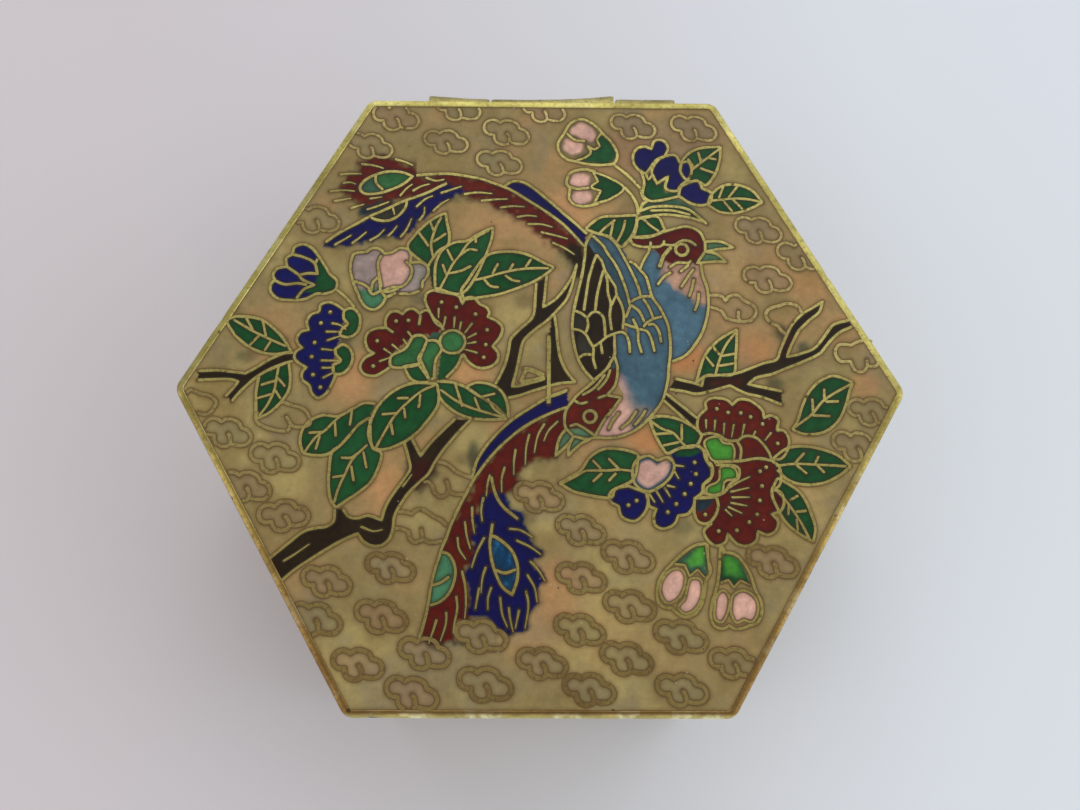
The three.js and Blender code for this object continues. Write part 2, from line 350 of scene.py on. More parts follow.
def branches(S):
    S.kind = "branches"
    up = T("-29.6,-19.2 -27.45,-17.35 -25.6,-15.9 -24.3,-15.55 -23.3,-15.4 -22.55,-14.85 -22.45,-13.5")
    mid = T("-21.6,-13.5 -20.9,-14.35 -19.9,-14.5 -18.9,-14.2 -17.35,-14.65c -16.95,-13.2 -16.1,-11.65 -14.95,-9.95 -14.4,-8.95 -14.65,-7.7 -15.15,-6")
    vee = T("-14.4,-5.4 -13.8,-6.55 -13.3,-7.55c -12.25,-6.1 -10.8,-4.55 -9.55,-3.3")
    low = T("-28.2,-21.6 -26.45,-20.05 -24.3,-18.6 -22.6,-17.5 -20.9,-16.6 -19.9,-16.2c -19.2,-17.05 -18.2,-17.5 -17.2,-17.4 -16.45,-16.75 -16.1,-15.65 -15.95,-14.2 -15.35,-12.95 -14.5,-11.65 -13.4,-10.5 -12.4,-9.55 -11.7,-8.25 -10.8,-6.85 -9.4,-5.1 -7.85,-3.4")
    S.fill("bark", ring(up, mid, vee, rev(low)))
    S.fill("rust", T("-14.6,-9.6 -13.2,-7.8 -11.9,-8.4 -12.4,-10 -13.6,-11"), 0.7, 0.5)
    for r in (up, mid, vee, low):
        S.wire(r)
    S.ticks([T("-27.8,-19.2 -26.4,-18.3 -25.05,-17.3"), T("-19.6,-15.4 -18.2,-15.9 -17.2,-15.7"), T("-15.2,-11 -14.2,-9.6")])

    up = T("-38.4,2 -36.45,2.1 -34.75,1.95 -33.2,1.75c -31.9,2.5 -30.35,3.5 -28.95,4.1 -27.95,4.2")
    low = T("-27.95,3.25 -29.2,2.8 -30.5,2.25 -31.6,1.55 -32.9,.4 -34.05,-.9 -34.45,-1.45")
    mid = T("-38.4,.95 -36.3,1.05 -34.75,1.05 -33.9,.8c -34.45,-.05 -35.2,-.9")
    S.fill("bark", ring(up, low, rev(mid)))
    for r in (up, low, mid):
        S.wire(r)

    up = T("15.05,1.45 17.1,1 18.05,.65c 18.4,1.75 19.9,1.9 21.65,2.05 23.25,2.6 25.15,3.35 26.65,3.8 27.1,4.95 27.8,6.45 28.55,7.9 29.85,9.2 31.05,9.95 32.2,10.7c 31.75,9.5 30.6,8.5 29.4,7.3 28.55,5.85 27.8,4.1c 29.4,4.5 30.9,5.1 32.2,6.6 33.25,7.9 35.15,8.5")
    low = T("14.45,.25 15.95,0 17.4,-.3 18.85,0 21.2,.7c 22.95,-.15 24.75,-.6 26.95,-1.5")
    twig = T("27.1,.1 24.75,.55 23.25,.85c 24.15,1.6 25.9,2.05 27.65,2.75 29.85,3.65 31.5,4.5 32.95,6.15 33.95,7 35.45,7.75")
    S.fill("bark", ring(up, rev(twig), rev(low)))
    S.fill("rust", T("19.6,1.2 22.4,1.5 22.6,.6 20,.2"), 0.6, 0.4, clip=ring(up, rev(twig), rev(low)))
    S.fill("rust", T("26.6,5 27.8,6.6 28.8,6 27.6,4.2"), 0.6, 0.4, clip=ring(up, rev(twig), rev(low)))
    S.fill("bark", T("14,-.25c 17.5,-3.15c 16.9,-4.05c 13.7,-1.05c"))
    for r in (up, low, twig, T("14,-.25 17.5,-3.15"), T("13.7,-1.05 16.9,-4.05")):
        S.wire(r)

    left = T("-.6,12.7 -.7,10.95 -.9,8.8 -1.2,8.3 -2.55,7.05 -3.45,6 -3.65,5 -3.95,3.4 -4.6,1.75 -5.15,.7")
    out = T(".6,13.6 .45,12.2 .35,10.95 .2,9.8c 1.35,10.55 2.1,11.3 3,12.6 3.6,13.7 4.05,15c 3.75,13.5 3.35,11.95 2.75,10.55 1.45,9.05")
    inn = T("1.45,9.05 .6,8.15 -.95,6.9 -1.95,5.9 -2.15,5.4 -2.45,4 -2.8,2.35 -3.25,.45c -2.3,.55 -.95,1 .2,1.5")
    right = T("1.45,8.95 1.7,7.4 1.85,5.5 2.1,3.9 2.6,2.6 3.35,1.5 3.8,1c 2.5,.9 1.1,.6 .35,.35 -.95,-.05 -2.55,-.65 -3.7,-.9")
    S.fill("bark", ring(left, rev(right), rev(out)))
    S.fill("ground", ring(inn, T(".85,1.6 .85,6.4 1.2,8.6")))
    for r in (left, out, inn, right):
        S.wire(r)
    S.wire(T(".85,6.4 .85,2.5 .85,-1.5"), 1.45)
    S.wire(T("1.1,-.65 2,-.35 2.85,0"), 1.25)
    S.wire(T("-1.9,2.45 -1.2,2.4 .3,1.75"), 1.7)
    S.wire(T("-2.3,.95 -1.75,2.3"), 1.2)
    S.wire(T("-2.3,.95 -1,1.1 .4,1.5"), 1.7)


def leaves(S):
    S.kind = "leaves"

    def leaf(top, bottom, *veins, colour="leaf", closed=True):
        top, bottom = T(top), T(bottom)
        S.fill(colour, ring(top, rev(bottom)))
        S.wire(top)
        S.wire(bottom)
        for v in veins:
            S.wire(T(v), 0.88)

    leaf("-34.75,6.35 -35.6,7.9 -34.9,8.35 -33.35,8.4 -31.75,8.05 -30.5,7.2 -29.2,5.95 -28.2,4.4", "-34.75,6.35 -33.35,5.1 -31.9,4.35 -30.05,4 -28.2,4.3",
         "-34.9,8.05 -33.05,6.95 -30.75,5.8 -28.8,4.95", "-33.5,8.3 -32.6,6.8", "-31.6,7.9 -31.1,6.1", "-32.9,5 -31.9,6.2", "-31.2,4.4 -30.5,5.6")
    leaf("-31.6,1.55 -31.85,-.3 -31.75,-2 -31.6,-3.45", "-28.35,2.95 -28.15,1.55 -28.2,-.05 -28.95,-1.45 -30.2,-2.75 -31.6,-3.45",
         "-29.5,2.65 -29.65,1.1 -29.9,-.45 -30.5,-1.9 -31.35,-3.15", "-31.35,.4 -29.8,.95", "-31.75,-1.15 -30.05,-.6", "-29.5,1.25 -28.65,.25", "-29.8,-.05 -29.05,-1.15")
    S.fill("leaf", T("-13.1,14.6c -12.6,16.4c -11.6,12c -12.4,11.9c"))
    leaf("-13.05,14.6 -15.45,16.9 -14.75,18.3 -13.6,19.6 -12.35,20.6 -11.2,21.2", "-13.05,14.6 -12.35,15.9 -11.8,16.6 -10.8,17.3 -10.7,18.6 -10.95,19.85 -11.2,21.2",
         "-11.65,20.7 -12.35,19.15 -12.75,17.3 -12.5,15.75", "-14.2,18.75 -13.05,17.05", "-11.05,18.65 -12.5,17.6", "-12.9,20 -12.4,18.7")
    leaf("-12.2,12 -12.2,14.6 -11.6,16.4 -10.8,17.15 -9.95,17.6 -8.65,17.75 -7.4,18.6 -5.65,19.45", "-12.2,12 -9.2,11.35 -7.65,13.2 -6.65,15.45 -6.25,16.6 -5.8,18 -5.65,19.45",
         "-6.1,19.1 -8.5,17.45 -9.35,16.05 -10.2,14.9 -10.8,13.6 -11.65,11.8", "-7.4,16.6 -8.4,16.7 -9.35,16", "-10.9,16.75 -10.2,15.3", "-8.1,14.7 -9.35,14.05 -10.65,13.75", "-11.4,14.9 -10.9,13.6", "-7.6,18.3 -7.6,17.5")
    leaf("-8.8,10.65 -9.2,11.6 -8.4,13 -6.4,15.9 -5.1,16.4 -3.1,16.45 -1.4,16.05 0,15.3 1.4,14.6", "-8.8,10.65 -6.95,10.9 -4.55,11.4 -2.4,12.2 -.85,12.9 .85,14.05 1.4,14.6",
         ".85,14.5 -2.45,14.35 -5,13.75 -6.2,13.35 -7.9,12.95", "-2.45,12.85 -3.3,13 -4.2,13.6", "-4.9,12.15 -5.9,12.3 -6.6,13.1", "-5,15.05 -5.65,13.75", "-3.25,15.05 -3.7,14.25", "-1.2,15.6 -1.9,14.5")
    leaf("-22.35,-13.35 -22.9,-12.65 -23.25,-11.25 -23.3,-9.1 -23.05,-7.1 -22.3,-6.5 -21.35,-5.4 -20.35,-4.15 -19.05,-3.2", "-22.35,-13.35 -21.2,-12.5 -19.75,-11.5 -18.65,-10.4 -17.9,-8.8 -17.65,-7.25 -18.6,-6.6 -19.05,-3.2",
         "-22.6,-12.8 -22.2,-11.25 -21.5,-9.55 -20.75,-7.95 -19.75,-6.85 -19.2,-6.3", "-22.05,-7.8 -20.9,-7.8 -20.2,-7.25", "-20.9,-8.7 -20.55,-10.4", "-19.65,-7.1 -19.2,-8.95", "-22.9,-10 -21.6,-9.8")
    leaf("-26.3,-7.3 -26.65,-6 -26.45,-4.7 -25.6,-3.6 -24.3,-3 -22.6,-3.1 -21,-2.25 -19.8,-1.6 -18.5,-1.65", "-26.3,-7.3 -25.05,-7.55 -23.6,-7.4 -22.3,-6.5 -21.35,-5.4 -20.35,-4.15 -19.05,-3.2",
         "-26.15,-7.25 -24.9,-5.45 -23.9,-4.7 -22.6,-3.3 -21.1,-2.25", "-25.75,-5 -24.2,-4.9", "-22.9,-3.7 -22.75,-5.4", "-21.05,-2.3 -21.25,-4.15", "-24.9,-6.9 -24.5,-5.3")
    leaf("-11.7,.7 -14.5,.7 -16.25,-.05 -17.75,-1.35 -18.75,-3.1 -19.15,-5.05 -18.6,-6.8", "-11.7,.7 -11.45,-.8 -11.6,-1.95 -12.6,-3.55 -14.05,-5.2 -15.55,-6.2 -17.15,-6.8 -18.6,-6.8",
         "-18.3,-6.8 -17.45,-5.05 -16.4,-3.15 -14.8,-1.35 -13.2,-.05 -11.85,.55", "-17.75,-2.85 -16.1,-2.7", "-16.1,-1 -14.8,-.95", "-16.7,-3.7 -16.4,-5.2", "-15.3,-2.1 -15.1,-3.3", "-13.5,-.5 -13.65,-2.1")
    leaf("-11.7,1 -10,.85 -8.35,.25 -6.75,-.8 -5.15,-1.8 -3.8,-3.15", "-11.6,.1 -11.3,-.95 -9.8,-2.4 -8.2,-3.15 -6,-3.4 -3.8,-3.3",
         "-9.65,.7 -8.8,-1.95", "-7.45,-.8 -6.75,-2.55", "-6,-.95 -5.2,-2.2 -3.95,-3", "-11.3,0 -8.9,-1.6 -6.4,-2.5 -4,-3.15")
    leaf("-8.35,.4 -7.2,.85 -5.55,.6 -4.4,-.2 -3.8,-1.5 -3.65,-3.15", "-8.35,.25 -6.75,-.8 -5.15,-1.8 -3.8,-3.15", "-6.75,-.8 -5.15,-.4")
    leaf("17.4,1 18,2.9 18.55,4.25 19.6,5.55 20.9,6.55 22.25,7.3", "17.4,1 18.4,1.75 19.9,1.9 21.65,2.05 21.95,3.8 22.15,5.7 22.25,7.3",
         "22.1,7 20.9,5.4 20.05,3.5 19.6,1.9", "19.45,5.25 20.2,4.25", "18.55,4.1 19.45,2.9", "21.95,4.45 20.35,4.15", "21.8,3.3 20.05,3")
    leaf("35.1,1.1 34.1,1.6 32.8,1.9 31.2,1.15 30,-.15 29.3,-1.5 28.5,-3.6 28,-4.3", "35.1,1.1 34.7,.25 34.25,-1.2 33.55,-2.8 32.6,-3.9 31.5,-4.6 29.5,-4.85 28,-4.3",
         "28.3,-4.1 30.3,-2.5 31.9,-.8 34.9,1", "30.4,-.75 30.45,-2.65", "32.35,-2.75 30.3,-2.7", "31.85,.4 31.75,-1.05", "33.4,-1.05 31.9,-1.1")
    leaf("25.65,-7.7 27.2,-6.5 28.7,-6.2 31,-6.5 32.95,-7.25 34.3,-8.45", "26.1,-8.9 27.2,-9.95 28.7,-10.5 31,-10.35 32.95,-9.5 34.3,-8.45",
         "26,-8.45 28.25,-8.2 33.85,-8.45", "29.25,-6.95 28.1,-8.15", "30.8,-7.3 30.35,-8.15", "29.4,-9.3 28.25,-8.3", "31.35,-9.2 30.5,-8.3")
    leaf("26.1,-9.8 27.5,-10.6 28.7,-11.65 29.6,-13.6 30,-15.4 29.7,-16.8", "26.1,-9.8 25.4,-11.4 26.1,-13.45 26.9,-14.8 28.4,-16.05 29.7,-16.8",
         "25.95,-11.2 27.2,-12.7 28.25,-14.35 29.3,-16.5", "29.15,-13.4 27.95,-13.55", "27.1,-13.9 27.2,-12.8", "28.3,-11.7 27.3,-12.3", "28.1,-15.6 28,-14.3")
    leaf("2.05,-10.5 3.1,-9.9 4.5,-8.95 5.4,-7.6 6.75,-6.7 8.4,-6.6 10.25,-7 10.8,-7.3", "2.05,-10.5 3.6,-11.4 5.7,-11.9 7.8,-12 8.1,-11.25 10.2,-10 10.8,-7.3",
         "4.95,-9.1 7.2,-9.05 8.7,-8.95 10.1,-9.1", "2.4,-10.5 4.95,-9.1", "7.45,-7.7 8.7,-8.95", "5.7,-10.3 6.75,-9.35", "7.45,-10.25 8.3,-9.35", "5.7,-7.9 6.6,-8.9")
    leaf("12.05,-3.1 13.55,-2.85 15.5,-3.3 16.9,-4.05 17.95,-4.95", "12.05,-3.1 12.65,-4.95 13.4,-6.35 14,-7.1 15.35,-6.5 17.2,-6.25 17.95,-4.95",
         "12.05,-3.3 13.55,-4.35 14.75,-4.8 15.5,-5.7 16.1,-6.35", "15.65,-3.75 15.65,-5.6", "12.65,-4.95 14.6,-4.8", "13.55,-6.2 15.35,-5.8")
    leaf("16.55,28.1 17.55,29.15 19.05,29.7 21.1,29.85", "16.55,28.1 16.3,26.6 17.15,25.45 18.3,25.45 19.2,24.9 20.35,26.35 20.95,28.1 21.1,29.85",
         "17.55,26.8 18.75,27.8 21.1,29.7", "18.45,29.15 18.75,27.8", "20.2,26.5 18.6,27.1", "17.2,28.3 17.9,27.1", "20.6,28.2 19.6,28.4")
    leaf("19.35,22.5 19.9,23.85 21.25,24.9 22.7,25.05 24.45,24.45 25.8,22.85", "19.35,22.5 20.65,21.65 22.4,21.45 24.45,22.1 25.8,22.85",
         "19.9,23 22.1,23.25 23.85,23.25 25.7,22.85", "23,24.9 21.8,23.4", "21.1,23.1 22.25,21.65", "22.25,23.25 23.45,21.95", "21.3,24.8 20.7,23.3")
    S.fill("sage", ring(T("11.6,21.9 12,22.6 13.6,23.2 15.8,23.2 17.4,22.4 18.3,21.4 19.2,20.1"), T("18.9,20.3 16.5,21.6 13,21.6")), 0.3)
    leaf("11.55,21.65 12.75,22.1 15.1,22.25 16.85,21.95 18,21.2 19.2,20.1", "11.55,20.65 13.45,21.15 15.35,21.15 17.4,20.8 18.9,20.3 19.2,20.1", "12.6,21.7 15.3,21.7 17.3,21.2")
    leaf("5.05,19.35 6.15,20.35 7.05,20.85 9.5,21 11.1,21.1", "5.05,19.35 6.2,18.85 7.9,18.35 9.2,17.2 10.3,18.3 10.9,19.4 11.1,21.1",
         "8.55,20.5 7.4,19.6 6.7,18.85", "8.3,20.25 8.05,19 7.9,18.35", "9.7,20.5 9.45,19.35 8.7,17.7", "11.1,20.75 10.85,19.5 10.3,18.35 9.2,17.1")
    leaf("10.6,18.35 11,19.6 11.2,20.6 13.5,20.9 14.1,19.75 14.3,19.25", "10.6,18.35 12,18.35 13.1,18.6 14.3,19.25", "11.7,20.75 12.75,19.75 13.6,19.1")


def first_bird(S):
    S.kind = "birds"
    spine = T("-14.7,25.85 -13.25,26 -10.55,26.1 -8.7,25.8 -6.9,25.45 -5.45,24.9 -3.8,24.2 -2,23.1 .2,21.65 2.35,20 4.9,17.25")
    under = T("-13.3,23.6 -9,23.5 -7,22.7 -5.3,22.2 -4,21.3 -2.5,20.5 -1,19.5 0,18.5 1,17.8 3,16.2 4.2,15.3")
    plume = T("-11.1,24.9 -12.2,24.35 -13.65,23.55 -15.8,22.75 -17.8,21.75 -19.8,20.75 -21.65,19.65 -23.8,18.35 -24.9,17.45")
    head = T("-15.8,23.1 -17.8,22.7 -20,22.2 -21.3,22 -22.4,22.7 -23.3,23.6 -22.9,24.5 -22.7,25.7 -21.45,26.4 -21.6,27.5 -20.5,28 -17.45,27.9 -15.1,27")
    below = ring(spine, T("4.9,10 -26,10 -26,31 -14.7,31"))
    S.fill("deep", T("-21.2,21 -20.6,22.5 -18.4,22.9 -17.2,22.6 -18,21.6 -19.8,20.8"), 0.4, 0.3)
    S.fill("red", ring(spine, T("4.9,17.2 4.2,15.3"), rev(under), head), 0.42, 0.55, clip=below)
    S.fill("bark", T("4.9,17.3c 3.2,17.6 2.6,16.6 3.4,15.2 3.9,13.4 4.4,13.6 4.9,15.5c"), 0.35, 0.2)
    S.fill("cobalt", ring(plume, T("-24.9,17.3 -23.65,17 -21.8,17.35 -20,17.8 -17.8,18.2 -16.2,18.35 -14.9,19.1 -14,20.35 -12.9,21.3 -11.45,22.35 -10,23.3 -8.9,23.9 -11.1,24.9")), 0.22, 0.4,
           clip=ring(plume, T("-26,16 -8,16 -8,26")))
    band = T("-4.35,24.6 -3.45,25.2 -2.2,25.1 -.75,24.2 .9,22.75 3.1,20.75 5.25,18.75")
    S.fill("cobalt", ring(band, T("5.25,18.75 4.9,17.25"), rev(spine[6:]), T("-3.8,24.2 -4.35,24.6")))
    for r in (spine, plume, band):
        S.wire(r)
    S.cell("sage", T("-15.1,25.75c -16.35,26.25 -17.8,26.35 -19.25,26 -20.75,25.1 -21.25,24.2 -20.75,23.55 -19.1,23.55 -17.45,24.1 -16,24.9"))
    S.fill("fern", T("-15.5,25.6c -16.35,26 -17.8,26.1 -19.3,25.75c -19.25,24.9 -18.7,24.1c -17.45,24.4 -16,25.1"), 0.15)
    S.wire(T("-19.45,25.9 -19.35,24.9 -18.55,24"))
    half = T("-19.8,20.55 -18.9,20.2 -17.65,20.2 -16.55,20.9 -15.8,22 -15.7,22.75")
    S.fill("soot", ring(half, T("-15.8,22.75 -17.8,21.75 -19.8,20.75")))
    S.wire(half)
    S.ticks([T(t) for t in (
        "-17.35,21.9 -17.1,20.9", "-21.2,27.25 -19.8,27.1 -18.55,26.7", "-23.65,25.9 -22.35,26 -21.1,26", "-23.25,24.8 -22.4,24.9 -21.7,24.7",
        "-24.75,23.75 -23,23.9 -21.8,23.8", "-24.2,22.55 -22.2,22.9", "-22.25,21.65 -20.65,22.2", "-20.35,21.55 -19,22 -17.75,22.55", "-17.25,27.9 -16.2,27.6 -15.1,27.1",
        "-16.55,23.25 -15.8,24.2 -15.1,24.75", "-15.1,23.9 -14,24.55 -13.1,24.8", "-11.8,23.65 -10.55,24.1 -9.35,24.55", "-9.1,23.55 -7.65,23.75 -5.8,23.65",
        "-7.1,22.75 -5.65,22.9 -3.9,23", "-4.9,21.9 -3.4,22.1 -2,22.05", "-2.9,20.75 -1.7,20.95 -.55,20.85", "-1.65,19.9 0,19.85 1.25,19.55", "-.1,18.9 1.45,18.55 3,18.1",
        "1.25,17.65 2.6,17 3.8,16.2", "-13.6,25.6 -12.4,25.2 -11.4,25.4", "-20.1,22.9 -18.6,23.1",
        "-23.9,17.1 -22.8,17.8 -22,18.35", "-21.9,17.35 -21.1,18 -20.25,18.75", "-19.9,17.7 -18.9,18.3 -18.2,19.1", "-17.8,18.25 -17.2,18.9 -16.75,19.55", "-16.35,18.1 -15.6,19.2 -15.1,20.45",
        "-14.2,20.2 -13.65,21.1 -13.65,21.9", "-12.65,21.35 -11.65,22.35 -10.8,22.9", "-14.6,21.9 -13.6,22.9 -12.7,23.3")], 0.8)

    # body: wing feathers, shoulder, breast
    wing_l = T("5.8,18.8 5.7,18.6 5.15,17.5 4.95,15.7 4.7,13.9 4.3,12.2 3.9,10.5 3.6,9 3.5,7.2 3.7,5.5 4.15,3.7 4.8,2.45 5.9,1.2")
    back = T("11.3,14.4 12,13.55 12.35,12.2 12.7,11 13.4,10 13.9,9 14.4,7.75 14.6,6.1 14.6,4.6 14.4,3.1 14.25,1.3 14,.15 13.6,-1 13,-2 12,-3.2 10.8,-4.3 9.2,-5.1 7.5,-5.4 5.7,-5.4 4.5,-6 3.6,-6.85")
    breast = T("18.4,15.3 18.5,13.9 19,12.2 19.1,10.3 18.9,8.9 18.4,7.2 17.5,5.6 16.3,4.2 14.75,3.45")
    S.fill("steel", ring(breast, T("14.75,3.45 14.4,3.1"), rev(back[:10]), T("11.3,14.4 12.3,16.4 15,17.1 17,16.3 18.4,15.3")))
    S.fill("rose", T("13.9,16.4 13.8,14.9 14.1,13.6 14.8,12.6 15.8,11.8 16.8,11 17.9,10.3 19.3,10.1 19.3,12.2 18.8,13.9 18.7,15.4 17.6,16.4 15,17.1"), 0.55, 0.35, clip=ring(breast, T("14.75,3.45 14.4,3.1"), rev(back[:10]), T("11.3,14.4 12,17.2 15,17.3 18,16.2")))
    S.wire(back)
    S.wire(breast)
    shoulder = ring(T("5.8,18.8 7.5,18.7 9.2,17.2 10.1,15.4 10.7,15.1 11.3,14.4"), back[:10], T("14.25,1.3 13.9,.15 12.6,2 9.5,2.6 8.3,4.2 8.3,6.6 9.1,6.9 9.6,6.6 9.4,8.75 8.6,11.3 8.3,12.4 7.3,14.2 6.3,16.2 5.15,17.5"))
    S.fill("steel", shoulder)
    S.fill("slate", T("5.6,18.2 7.05,17.35 8.55,14.95 9.6,12 9.9,9.6 9.4,8.75 8.6,11.3 7.6,13.7 6.3,16.6"), 0.25)
    S.fill("steel", T("8.3,4.2 9.9,4.2 11.4,4.3 12.8,4.5 13.7,5.6 14.6,5 14.4,2.6 14.1,0 13.3,-1.4 11.3,.6 8.6,2.4 7.6,3.1"))
    # primaries and the scaled wing
    prim = ring(T("6.3,16.2 6.9,15.45 7.3,14.2 7.9,13.2 8.45,12.3 8.6,11.3 9.2,10 9.4,8.75 9.25,7.25 9.1,6.9 8.3,6.6 8.3,5.5 8.3,4.2 7.8,3.3 7.2,2.4 5.9,1.2"), T("5.9,1.2 4.8,2.45 4.15,3.7 3.7,5.5 3.5,7.2 3.6,9 3.9,10.5 4.3,12.2 4.7,13.9 4.95,15.7 5.15,17.5 6.3,16.2"))
    S.fill("bark", prim)
    S.fill("soot", T("4.1,9.1c 4.9,8.9 5.3,7.6 5,6.9 4.2,7.2 3.6,7.4 3.7,8.6"), 0.2)
    S.fill("soot", T("4.3,6.8c 5.1,6.3 5.7,5.3 5.8,4.4 5.2,4.3 4.3,4.5 4,5.6"), 0.25)
    S.wire(wing_l)
    for t in ("6.3,16.2 5.9,14.95 5.4,13.2 5.05,10.9 4.85,9.4", "6.3,16.2c 6.9,15.45 7.3,14.2 7.9,13.2 8.45,12.3 8.6,11.3 9.2,10 9.4,8.75 9.25,7.25",
              "7.1,14.3 6.7,12.8 6.35,11.15 6.1,9.4", "7.3,14.2 7.55,12.9 7.6,11.65 7.9,10.3 7.8,8.9 8,7.1", "8.55,11.3 8,10.1",
              "3.7,9.4 4.5,9.1 5.2,8.55c 5.8,9.2 6.4,9.25 7,8.75 7.2,7.75 7.25,6.35", "5.2,8.55 5.3,7.6 5,6.7", "3.5,7.2 4.4,7.05 5.1,6.5 5.5,5.7 5.9,5",
              "5.9,5.1 6.7,5.7 7.4,6.35c 8.3,6.7 9.1,6.9 9.6,6.6 9.9,5.85 10,4.45", "6.7,5.7 6.9,4.3", "5.9,5 5.85,3.7 6.15,2.55", "4.15,3.75 4.8,4.2 5.65,4.2",
              "8.3,6.6 8.3,5.5 8.3,4.2 7.8,3.3 7.2,2.4 5.9,1.2",
              "5.9,18.5 7.05,17.35 7.7,16.2 8.55,14.95 9.2,13.4 9.7,11.9 10.1,10.15", "6.7,18.75 7.7,18.35 8.55,17.6 9.2,16.45 9.95,14.95 10.6,13.55 11.1,12.3 11.35,11.15",
              "10.2,10.5 10.85,10.9 11.6,11.15 12.6,11.15", "10.2,10.15 11.1,9.4 11.7,8.1", "11.6,10.9 12.2,10 12.75,8.6", "11.6,7.5 12,8 12.75,8.5 13.75,8.75",
              "10.4,8.5 10.95,7.1 11,5.85 11.35,4.45", "11.1,7.25 12,7 12.5,6 12.8,4.6", "12.1,7.75 12.75,7.85 13.35,7 13.6,5.7", "9.6,8.6 10.2,10.2", "9.4,7.9 10.2,7.6 10.9,7.4"):
        S.wire(T(t), 0.95)
    # head
    crown = T("10.2,18.35c 11.4,18.45 12.86,18.6 14.6,19.2 16.9,19.75 18.3,19.1 18.9,17.9")
    S.fill("red", ring(crown, T("18.9,17.9 18.9,16.65 17.9,15.25 16.8,15.3 15.6,15.5 14.7,15.2 13.9,15.5 13.5,16.4 12.7,17.1 11.6,17.1 10.6,17.5 10.2,18.35")), 0.16, 0.2, clip=ring(crown, T("18.9,17.9 19.2,14 10,13 9.6,18.3")))
    S.wire(crown)
    S.cell("beak", T("18.9,17.9c 20.7,17.9 22.2,17.2c 20.3,16.95 18.9,16.65c"))
    S.cell("beak", T("18.9,16.65c 20.2,16.4 21.3,15.4c 20.2,15.45 17.9,15.25c"))
    S.wire(T("10.2,18.2c 10.6,17.5 11.6,17.2 12.6,17.2c 13.4,17.2 14.1,17.5c 15.3,17.45 16.3,18 17.2,17.9 17.9,17.4"))
    for t in ("12.6,17.2 12.6,17.85", "14.1,17.5 14.2,18", "12.5,17.2 12.35,16.6 11.7,15.4 11.3,14.4", "14.75,14.7 15.6,15.25 17,15.3 17.2,15.6",
              "15.95,14.2 16.5,14.6 17,15.1", "16,12.3 16.8,13.55 17.5,14.55", "16.9,11.15 17.3,12.3 17.5,13.3", "17.5,9.5 17.9,10.6 18,11.65", "10.1,15.4 10.7,15.1 11.3,14.4", "13.3,12.6 14.1,13.6 14.9,14.1"):
        S.wire(T(t), 0.95)
    S.wire(T("15,17.2 14.1,16.1 13.55,14.75"), 1.5)
    S.cell("red", [(16.2 + 0.72 * math.cos(a), 16.9 + 0.72 * math.sin(a)) for a in np.linspace(0, 2 * math.pi, 9)[:-1]], 1.1)


